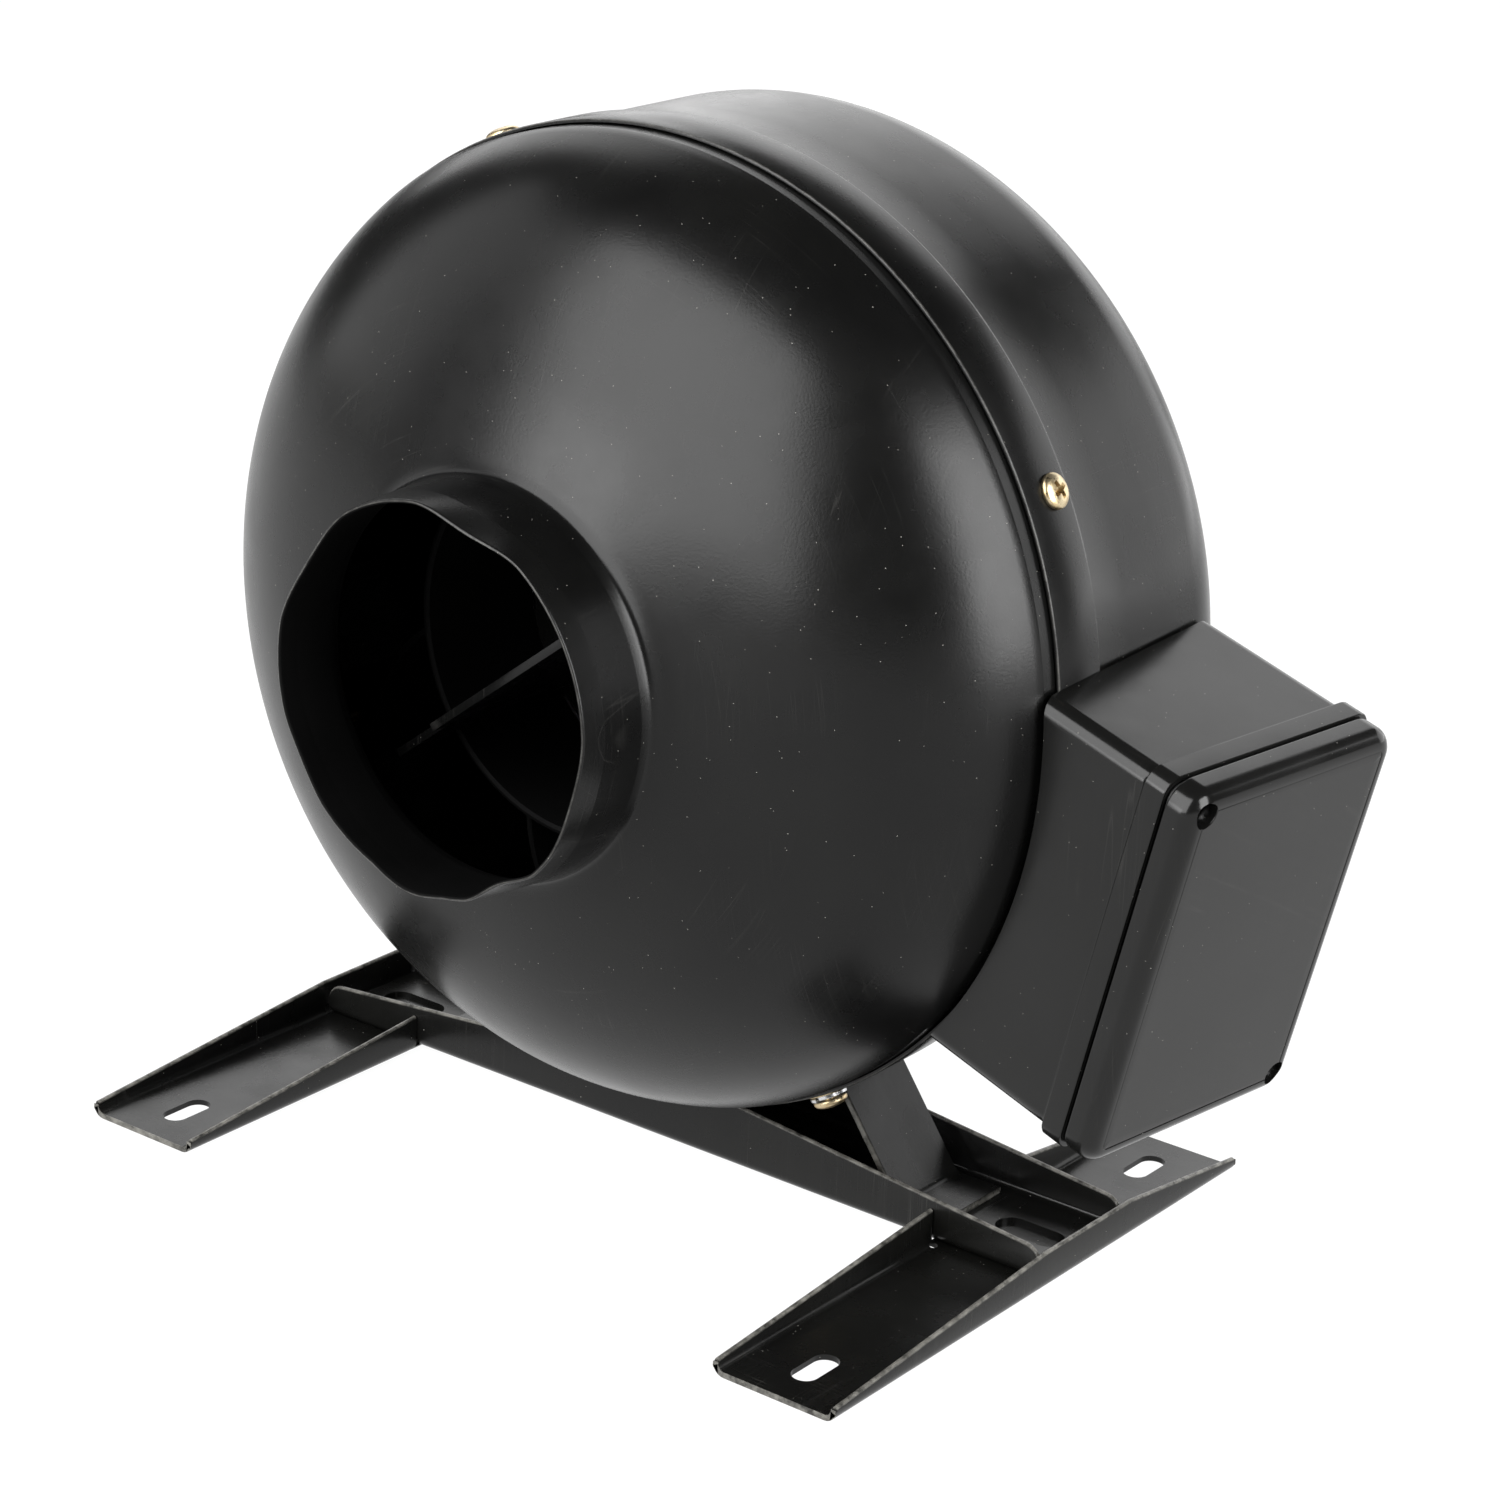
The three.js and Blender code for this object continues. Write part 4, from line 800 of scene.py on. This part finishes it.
def makeBoxBase():
    b = boxShape
    top = b["parting"] - b["seam"]
    steps = [(-20, 0), (b["ledge"] - 1.2, 0), (b["ledge"] - 0.5, 0.06), (b["ledge"] - 0.1, 0.3),
             (b["ledge"] + 0.05, b["rim"] - 0.5), (b["ledge"] + 0.2, b["rim"] - 0.16),
             (b["ledge"] + 0.5, b["rim"]),
             (top - 0.45, b["rim"]), (top - 0.12, b["rim"] - 0.14), (top, b["rim"] - 0.5)]
    obj = rawObject("junctionBoxBase", loft([boxRing(x, grow) for x, grow in steps]), boxTurn)
    space = rawObject("space", loft([boxRing(x, -b["wall"], 2.4) for x in (-21, top + 1)]), boxTurn)
    combine(space, [housingDrum(shellShape["band"] + 0.3 + b["wall"])]
            + [pillar(corner, -24, top + 4) for corner in lidCorners])
    bores = [alongLid([(0, top - 13), (1.7, top - 13), (1.7, top + 2), (0, top + 2)], corner)
             for corner in lidCorners]
    thread = rawObject("bore", spindle([(0, 20), (7.3, 20), (7.3, 60), (0, 60)], 48),
                       boxTurn @ Matrix.Translation((glandShape["offset"][0], 0, glandShape["offset"][1])))
    combine(obj, [housingDrum(shellShape["band"] + 0.12)])
    combine(obj, [space] + bores + [thread])
    piece(obj, boxPlastic, "housing", "box_plastic", "junction_box_base", even=True)


def makeLid():
    b = boxShape
    turn = b["lidRound"]
    steps = [(b["parting"], b["rim"] - 0.45), (b["parting"] + 0.12, b["rim"] - 0.13),
             (b["parting"] + 0.45, b["rim"])]
    for a in (radians(v) for v in span(0, 90, 11)):
        steps.append((b["face"] - turn + turn * sin(a), b["rim"] - turn + turn * cos(a)))
    flat = b["rim"] - turn
    steps += [(b["face"], flat - 0.35), (b["face"] - 0.16, flat - 0.5), (b["face"] - 0.16, flat - 0.62),
              (b["face"] - 0.03, flat - 0.8), (b["face"] - 0.02, flat - 3)]
    rings = [boxRing(x, grow, max(1.6, b["corner"] + b["rim"] + 1.0 + (grow - b["rim"]) * 0.85)) for x,
             grow in steps]
    obj = rawObject("junctionBoxLid", loft(rings), boxTurn)
    space = rawObject("space",
                      loft([boxRing(x, -b["wall"], 2.4)
                            for x in (b["parting"] - 1, b["face"] - b["wall"])]),
                      boxTurn)
    combine(space, [pillar(corner, b["parting"] - 3, b["face"]) for corner in lidCorners])
    deep = b["face"] - lidScrew["sink"]
    bores = []
    for corner in lidCorners:
        bores.append(alongLid([(0, deep), (3.2, deep), (3.2, b["face"] - 0.4), (3.5, b["face"] + 0.1),
                               (3.5, b["face"] + 2),
                               (0, b["face"] + 2)], corner))
        bores.append(alongLid([(0, b["parting"] - 2), (1.7, b["parting"] - 2), (1.7, deep + 1),
                               (0, deep + 1)], corner))
    combine(obj, [space] + bores)
    piece(obj, boxPlastic, "housing", "box_plastic", "junction_box_lid", sharp=40, even=True)
    for i, corner in enumerate(lidCorners):
        turn = (boxTurn @ Matrix.Translation((0, corner[0], corner[1]))
                @ Matrix.Rotation(radians(-90), 4, "Z"))
        makeScrew(f"lidScrew{i + 1}", f"lid_screw_{i + 1}", lidScrew, turn, deep + 0.05, brightZinc,
                  "bright_zinc",
                  spin=15 + 40 * i)


glandShape = {"offset": (16.0, -28.0), "thread": 7.0, "hex": 10.5, "hexThick": 5.0, "cap": 8.5,
              "capLength": 12.0,
              "bore": 4.0, "ribs": 28, "nut": 9.5, "nutThick": 4.0}


def hexRing(y, radius, chamfer=0.0):
    # a hexagon whose corners are turned down to a circle by the chamfer
    ring = []
    for k in range(72):
        a = 2 * pi * k / 72
        flat = radius * cos(pi / 6) / cos((a % (pi / 3)) - pi / 6)
        r = min(flat, radius - chamfer)
        ring.append((r * cos(a), y, r * sin(a)))
    return ring


def makeGland():
    g = glandShape
    turn = boxTurn @ Matrix.Translation((g["offset"][0], 0, g["offset"][1]))
    face = boxShape["depth"] / 2 + 0.05
    inside = boxShape["depth"] / 2 - boxShape["wall"]
    circle = lambda r, y: [(r * cos(2 * pi * k / 72), y, r * sin(2 * pi * k / 72)) for k in range(72)]

    def ribbed(r, y):
        return [((r + 0.28 * cos(2 * pi * k / 72 * g["ribs"] / 2)) * cos(2 * pi * k / 72), y,
                 (r + 0.28 * cos(2 * pi * k / 72 * g["ribs"] / 2)) * sin(2 * pi * k / 72))
                 for k in range(72)]

    rings = []
    y = inside - g["nutThick"] - 2
    while y < face - 0.8:
        rings += [circle(g["thread"] - 0.5, y), circle(g["thread"], y + 0.5)]
        y += 1.0
    top = face + g["hexThick"]
    end = face + g["capLength"]
    rings += [circle(g["thread"] - 0.2, face), hexRing(face, g["hex"], 1.0),
              hexRing(face + 0.7, g["hex"], 0.2),
              hexRing(top - 0.7, g["hex"], 0.2), hexRing(top, g["hex"], 1.0),
              circle(g["cap"] - 0.6, top + 0.05),
              ribbed(g["cap"] - 0.3, top + 0.5), ribbed(g["cap"] - 0.3, end - 1),
              circle(g["cap"] - 0.4, end)]
    rings += [circle(g["cap"] - 2.1 * (1 - cos(a)) - 0.4, end + 3.6 * sin(a))
              for a in (radians(v) for v in span(12, 80, 6))]
    rings += [circle(g["bore"] + 0.5, end + 3.9), circle(g["bore"], end + 3.4)]
    rings += [circle(g["bore"], inside - g["nutThick"] - 2)]
    obj = rawObject("cableGland", loft(rings, closedAlong=True), turn)
    piece(obj, blackRubber, "housing", "black_rubber", "cable_gland")
    low, high = inside - 0.3 - g["nutThick"], inside - 0.3
    rings = [circle(g["thread"] + 0.1, low), hexRing(low, g["nut"], 0.9), hexRing(low + 0.6, g["nut"], 0.1),
             hexRing(high - 0.6, g["nut"], 0.1), hexRing(high, g["nut"], 0.9),
             circle(g["thread"] + 0.1, high)]
    nut = rawObject("glandNut", loft(rings, closedAlong=True), turn)
    piece(nut, blackRubber, "housing", "black_rubber", "gland_nut")


# inside the outlet: strut and guide vanes

strutShape = {"angle": 37.7, "sheet": 2.0, "front": -75.0, "halfSpan": 58.0, "step": 5.0, "stepAt": 38.0,
              "rear": -57.0, "seat": -16.0, "lugLength": 12.0, "lugWidth": 12.0, "lugAt": 24.0,
              "inner": 47.5}
vaneShape = {"ring": 50.5, "ringSheet": 2.0, "count": 6, "reach": 91.0, "sheet": 1.6, "front": -56.0,
             "rear": -16.2,
             "sweep": 26.0}
smallScrew = {"radius": 2.8, "height": 2.1, "shank": 1.5, "reach": 4.6}


def makeStrut():
    s = strutShape
    half = [(s["inner"], s["seat"]), (s["inner"], s["rear"]), (s["halfSpan"], s["rear"]),
            (s["halfSpan"], s["front"] + s["step"]), (s["stepAt"], s["front"] + s["step"]),
            (s["stepAt"], s["front"])]
    outline = half + [(-x, y) for x, y in half[::-1]]
    plate = loft([[(x, y, z) for x, y in outline] for z in (-s["sheet"] / 2, s["sheet"] / 2)])
    turn = sectorTurn(s["angle"])
    obj = rawObject("outletStrut", plate, turn)
    lugs = [rawObject("lug", brick((side * s["lugAt"] - s["lugLength"] / 2, s["seat"] - s["sheet"], 0),
                                   (side * s["lugAt"] + s["lugLength"] / 2, s["seat"] + 0.01,
                                    s["sheet"] / 2 + s["lugWidth"])), turn) for side in (-1, 1)]
    combine(obj, lugs, "UNION")
    rounded(obj, 0.3, 2)
    piece(obj, standPaint, "housing", "stand_paint", "outlet_strut")
    for i, side in enumerate((-1, 1)):
        place = turn @ Matrix.Translation((side * s["lugAt"], s["seat"] - s["sheet"], s["sheet"] / 2
                                           + s["lugWidth"] / 2))
        makeScrew(f"strutScrew{i + 1}", f"strut_screw_{i + 1}", smallScrew,
                  place @ Matrix.Rotation(pi, 4, "X"), 0, brightZinc, "bright_zinc", spin=33 * i)


def bladePath(inner, outer, sweep, steps):
    path = []
    for share in span(0, 1, steps + 1):
        r, a = inner + (outer - inner) * share, radians(sweep * share ** 1.3)
        path.append(Vector((r * cos(a), r * sin(a))))
    return path


def bladeShape(path, sheet, front, rear, soft=0.35):
    loop = sheetLoop(path, sheet, 5)
    slim = sheetLoop(path, sheet - soft * 2, 5)
    return loft([[(p.x, y, p.y) for p in line] for line, y in
                 ((slim, front), (loop, front + soft), (loop, rear - soft), (slim, rear))])


def makeVanes():
    v = vaneShape
    profile = [(r, y) for r, y in ((v["ring"], v["rear"]), (v["ring"], v["front"] + 0.4),
                                   (v["ring"] - v["ringSheet"] / 2, v["front"]),
                                   (v["ring"] - v["ringSheet"], v["front"] + 0.4),
                                   (v["ring"] - v["ringSheet"], v["rear"]))]
    obj = rawObject("guideVanes", lathe(profile, 160))
    path = bladePath(v["ring"] - v["ringSheet"] / 2, v["reach"], v["sweep"], 14)
    blades = [rawObject("vane", bladeShape(path, v["sheet"], v["front"] + 6, v["rear"]),
                        sectorTurn(strutShape["angle"] + 30 + i * 360 / v["count"]))
                        for i in range(v["count"])]
    combine(obj, blades, "UNION")
    # painted shade: the guide vanes take the darker, duller inside coat, standing in for the shade inside
    # the outlet
    piece(obj, paintedShadeInside, "housing", "powder_coat", "guide_vanes")


# rotor and impeller, which turn together

canShape = {"radius": 42.0, "sheet": 1.5, "front": -4.0, "rear": 34.5, "flange": 52.0, "flangeFront": 2.5,
            "boss": 9.0, "bossLength": 5.0, "bore": 4.03}
shaftShape = {"radius": 4.0, "front": -11.5, "rear": 36.0}
impellerShape = {"radius": 92.0, "sheet": 1.2, "plate": 4.0, "width": 34.0, "blades": 7, "bladeInner": 58.0,
                 "bladeSheet": 1.5, "sweep": 38.0, "eye": 50.0, "neck": 8.0, "screwCircle": 47.0,
                 "screws": 3}
coneShape = {"throat": 46.0, "sheet": 1.2, "lap": 2.0, "flangeShare": 0.2}


def turnedPiece(name, cad, line, material, body, slotName, sides=160, thickness=None):
    # a lathe piece from a closed profile, or from a centre line and a thickness
    profile = [(p.x, p.y) for p in sheetLoop(line, thickness)] if thickness else line
    piece(rawObject(name, lathe(profile, sides)), material, body, slotName, cad)


def makeRotor():
    c = canShape
    middle = c["radius"] - c["sheet"] / 2
    plateMiddle = c["flangeFront"] + c["sheet"] / 2
    shell = filletPath([(c["radius"], c["flangeFront"] + c["sheet"]), (c["radius"], c["rear"]),
                        (c["boss"] + 5, c["rear"]),
                        (c["boss"] + 3.5, c["rear"] - 0.8), (c["bore"], c["rear"] - 0.8)], 2.2, 6)
    inside = [(c["bore"], c["rear"] - c["sheet"] - c["bossLength"]),
              (c["boss"], c["rear"] - c["sheet"] - c["bossLength"]),
              (c["boss"], c["rear"] - c["sheet"] - 0.8), (middle - 0.75, c["rear"] - c["sheet"]),
              (middle - 0.75, c["front"]), (c["radius"], c["front"]), (c["radius"], c["flangeFront"]),
              (c["flange"] - 0.3, c["flangeFront"]), (c["flange"], plateMiddle),
              (c["flange"] - 0.3, c["flangeFront"] + c["sheet"])]
    turnedPiece("rotorCan", "rotor_can", [(p.x, p.y) for p in shell] + inside, galvanised, "rotor",
                "galvanised")
    s = shaftShape
    soft = 0.6
    rod = [(0, s["front"]), (s["radius"] - soft, s["front"]), (s["radius"], s["front"] + soft),
           (s["radius"], s["rear"] - soft), (s["radius"] - soft, s["rear"]), (1.1, s["rear"]),
           (0, s["rear"] - 1)]
    obj = rawObject("shaft", spindle(rod, 64), Matrix.Translation((0, 0, axisHeight)))
    piece(obj, bearingSteel, "rotor", "bearing_steel", "shaft")


def makeImpeller():
    m = impellerShape
    front, rear = m["plate"] + m["sheet"], m["plate"] + m["sheet"] + m["width"]
    turnedPiece("impellerBackplate", "impeller_backplate",
                [Vector((canShape["radius"] + 0.4, m["plate"] + m["sheet"] / 2)),
                 Vector((m["radius"], m["plate"] + m["sheet"] / 2))], galvanised, "rotor", "galvanised",
                 200, m["sheet"])
    path = bladePath(m["bladeInner"], m["radius"] - 2, m["sweep"], 16)
    for i in range(m["blades"]):
        obj = rawObject(f"impellerBlade{i + 1}",
                        bladeShape(path, m["bladeSheet"], front + 0.02, rear - 0.02, 0.2),
                        sectorTurn(i * 360 / m["blades"]))
        piece(obj, galvanised, "rotor", "galvanised", f"impeller_blade_{i + 1}")
    middle = rear + m["sheet"] / 2
    bend = m["bladeInner"] - m["eye"] - m["sheet"] / 2
    line = [Vector((m["radius"], middle)), Vector((m["radius"] - 15, middle)),
            Vector((m["bladeInner"] + 4, middle))]
    line += [Vector((m["bladeInner"] - bend * sin(a), middle + m["neck"] * (1 - cos(a))))
             for a in (radians(v) for v in span(0, 90, 12))]
    turnedPiece("impellerShroud", "impeller_shroud", line, galvanised, "rotor", "galvanised", 200,
                m["sheet"])
    for i in range(m["screws"]):
        place = sectorTurn(90 + i * 360 / m["screws"]) @ Matrix.Translation((m["screwCircle"], 0, 0))
        makeScrew(f"impellerScrew{i + 1}", f"impeller_screw_{i + 1}", {**smallScrew, "reach": 3.4}, place,
                  front + 0.02,
                  brightZinc, "bright_zinc", spin=41 * i, body="rotor")


def makeInletCone():
    # a bell mouth under the inlet spigot, whose throat reaches into the impeller's eye
    c = coneShape
    depth = shellShape["sheet"] + 0.3 + c["sheet"] / 2
    shares = [1 - c["flangeShare"] + c["flangeShare"] * 0.9 * t for t in span(0, 1, 9)]
    flange = offsetLine(domeLine(rearDome, shellShape["radius"], shellShape["straight"], shares), depth)
    mouth = flange[-1]
    m = impellerShape
    tip = m["plate"] + m["sheet"] * 1.5 + m["width"] + m["neck"] - c["lap"]
    throat = c["throat"] + c["sheet"] / 2
    bell = [bezier(mouth, mouth + Vector((-3, 1.2)), Vector((throat, mouth.y - 12)),
                   Vector((throat, tip + 12)), t)
            for t in span(0, 1, 22)]
    line = flange + bell[1:] + [Vector((throat, tip + 6)), Vector((throat, tip))]
    turnedPiece("inletCone", "inlet_cone", line, galvanised, "housing", "galvanised", 200, c["sheet"])


# the CAD nodes that stay get their own finish

carriedOver = {
    "stand_paint": (standPaint, ["motor_spider"]),
    "galvanised": (galvanised, ["motor_base", "capacitor_clip"]),
    "bright_zinc": (brightZinc, ["motor_screw_1", "motor_screw_2", "motor_screw_3", "box_screw_1",
                                 "box_screw_2"]),
    "bearing_steel": (bearingSteel, ["bearing_front", "bearing_rear"]),
    "lamination": (lamination, ["stator_core"]),
    "copper": (copperWire, ["winding_front", "winding_rear"]),
    "black_rubber": (blackRubber, ["lid_gasket", "lead_grommet", "motor_lead"]),
    "pale_plastic": (palePlastic, ["terminal_block", "capacitor"]),
}


def dressCarriedNodes():
    for slotName, (material, names) in carriedOver.items():
        for name in names:
            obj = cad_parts[name]
            obj.data.materials.clear()
            obj.data.materials.append(material)


# floor, backdrop and lights

studio = {"floorSize": 14.0, "wallRadius": 6.8, "wallHeight": 9.0, "wallSides": 96, "aimHeight": 0.14,
          "ambient": 0.035,
          # colour, roughness, specular, glow
          "floorPaper": ((0.07, 0.07, 0.07), 0.9, 0.1, 0.97), "wallPaper": ((0, 0, 0), 0.5, 0.5, 0.97),
          # name: degrees round from the outlet's side and up, distance, width, height, radiance
          "lights": {"frontLeftBox": (350, 31, 1.6, 1.5, 1.7, 7.2),
                     "frontLowBox": (333, 7, 1.5, 0.6, 0.4, 4.6),
                     "rightBox": (88, 21, 1.6, 0.85, 1.3, 12.0),
                     "backRightBox": (158, 12, 1.8, 1.4, 1.0, 2.4),
                     "backBox": (203, 22, 1.9, 1.5, 1.3, 2.0),
                     "backLeftBox": (236, 34, 1.8, 0.7, 1.5, 2.0),
                     "leftBox": (290, 25, 1.6, 0.9, 1.2, 1.4)}}


def stagePiece(name, points, faces, colour, rough, specular, glow):
    mesh = bpy.data.meshes.new(name)
    mesh.from_pydata(points, [], faces)
    obj = bpy.data.objects.new(name, mesh)
    scene.collection.objects.link(obj)
    paper = bpy.data.materials.new(name + "Paper")
    paper.use_nodes = True
    shader = paper.node_tree.nodes["Principled BSDF"]
    shader.inputs["Base Color"].default_value = (*colour, 1)
    shader.inputs["Roughness"].default_value = rough
    shader.inputs["Specular IOR Level"].default_value = specular
    shader.inputs["Emission Color"].default_value = (1, 1, 1, 1)
    shader.inputs["Emission Strength"].default_value = glow
    mesh.materials.append(paper)
    return obj


def makeLights():
    middle = Vector((0, 0, studio["aimHeight"]))
    for name, (azimuth, elevation, distance, width, height, radiance) in studio["lights"].items():
        data = bpy.data.lights.new(name, "AREA")
        data.shape = "RECTANGLE"
        data.size, data.size_y = width, height
        data.energy = radiance * pi * width * height
        lamp = bpy.data.objects.new(name, data)
        lamp.visible_camera = False
        scene.collection.objects.link(lamp)
        a, e = radians(azimuth), radians(elevation)
        back = Vector((sin(a) * cos(e), -cos(a) * cos(e), sin(e)))
        turn = back.to_track_quat("Z", "Y").to_matrix().to_4x4()
        lamp.matrix_world = Matrix.Translation(middle + back * distance) @ turn


def makeStudio():
    s = studio
    half, sides = s["floorSize"] / 2, s["wallSides"]
    stagePiece("floor", [(-half, -half, 0), (half, -half, 0), (half, half, 0), (-half, half, 0)],
               [(0, 1, 2, 3)], *s["floorPaper"])
    # a far pale wall behind everything, which gives no light and no reflection
    turns = [2 * pi * i / sides for i in range(sides)]
    points = [(s["wallRadius"] * cos(a), s["wallRadius"] * sin(a), z)
              for z in (0, s["wallHeight"]) for a in turns]
    faces = [(i, (i + 1) % sides, (i + 1) % sides + sides, i + sides) for i in range(sides)]
    wall = stagePiece("backdrop", points, faces, *s["wallPaper"])
    wall.visible_diffuse = wall.visible_glossy = wall.visible_shadow = False
    world = bpy.data.worlds.new("studioAir")
    world.use_nodes = True
    air = world.node_tree.nodes["Background"]
    air.inputs["Color"].default_value = (1, 1, 1, 1)
    air.inputs["Strength"].default_value = s["ambient"]
    scene.world = world
    makeLights()
    scene.view_settings.view_transform = "Standard"


makeFrontShell()
makeRearShell()
print("housing shells made")
makeHousingScrews()
print("housing screws made")
makeFoot("footRight", "foot_right", 1)
makeFoot("footLeft", "foot_left", -1)
makeChannel()
makeSaddle()
print("stand made")
makeBoxBase()
makeLid()
makeGland()
print("junction box made")
makeStrut()
makeVanes()
makeRotor()
makeImpeller()
makeInletCone()
print("inside of the fan made")
dressCarriedNodes()
makeStudio()
print("studio made")
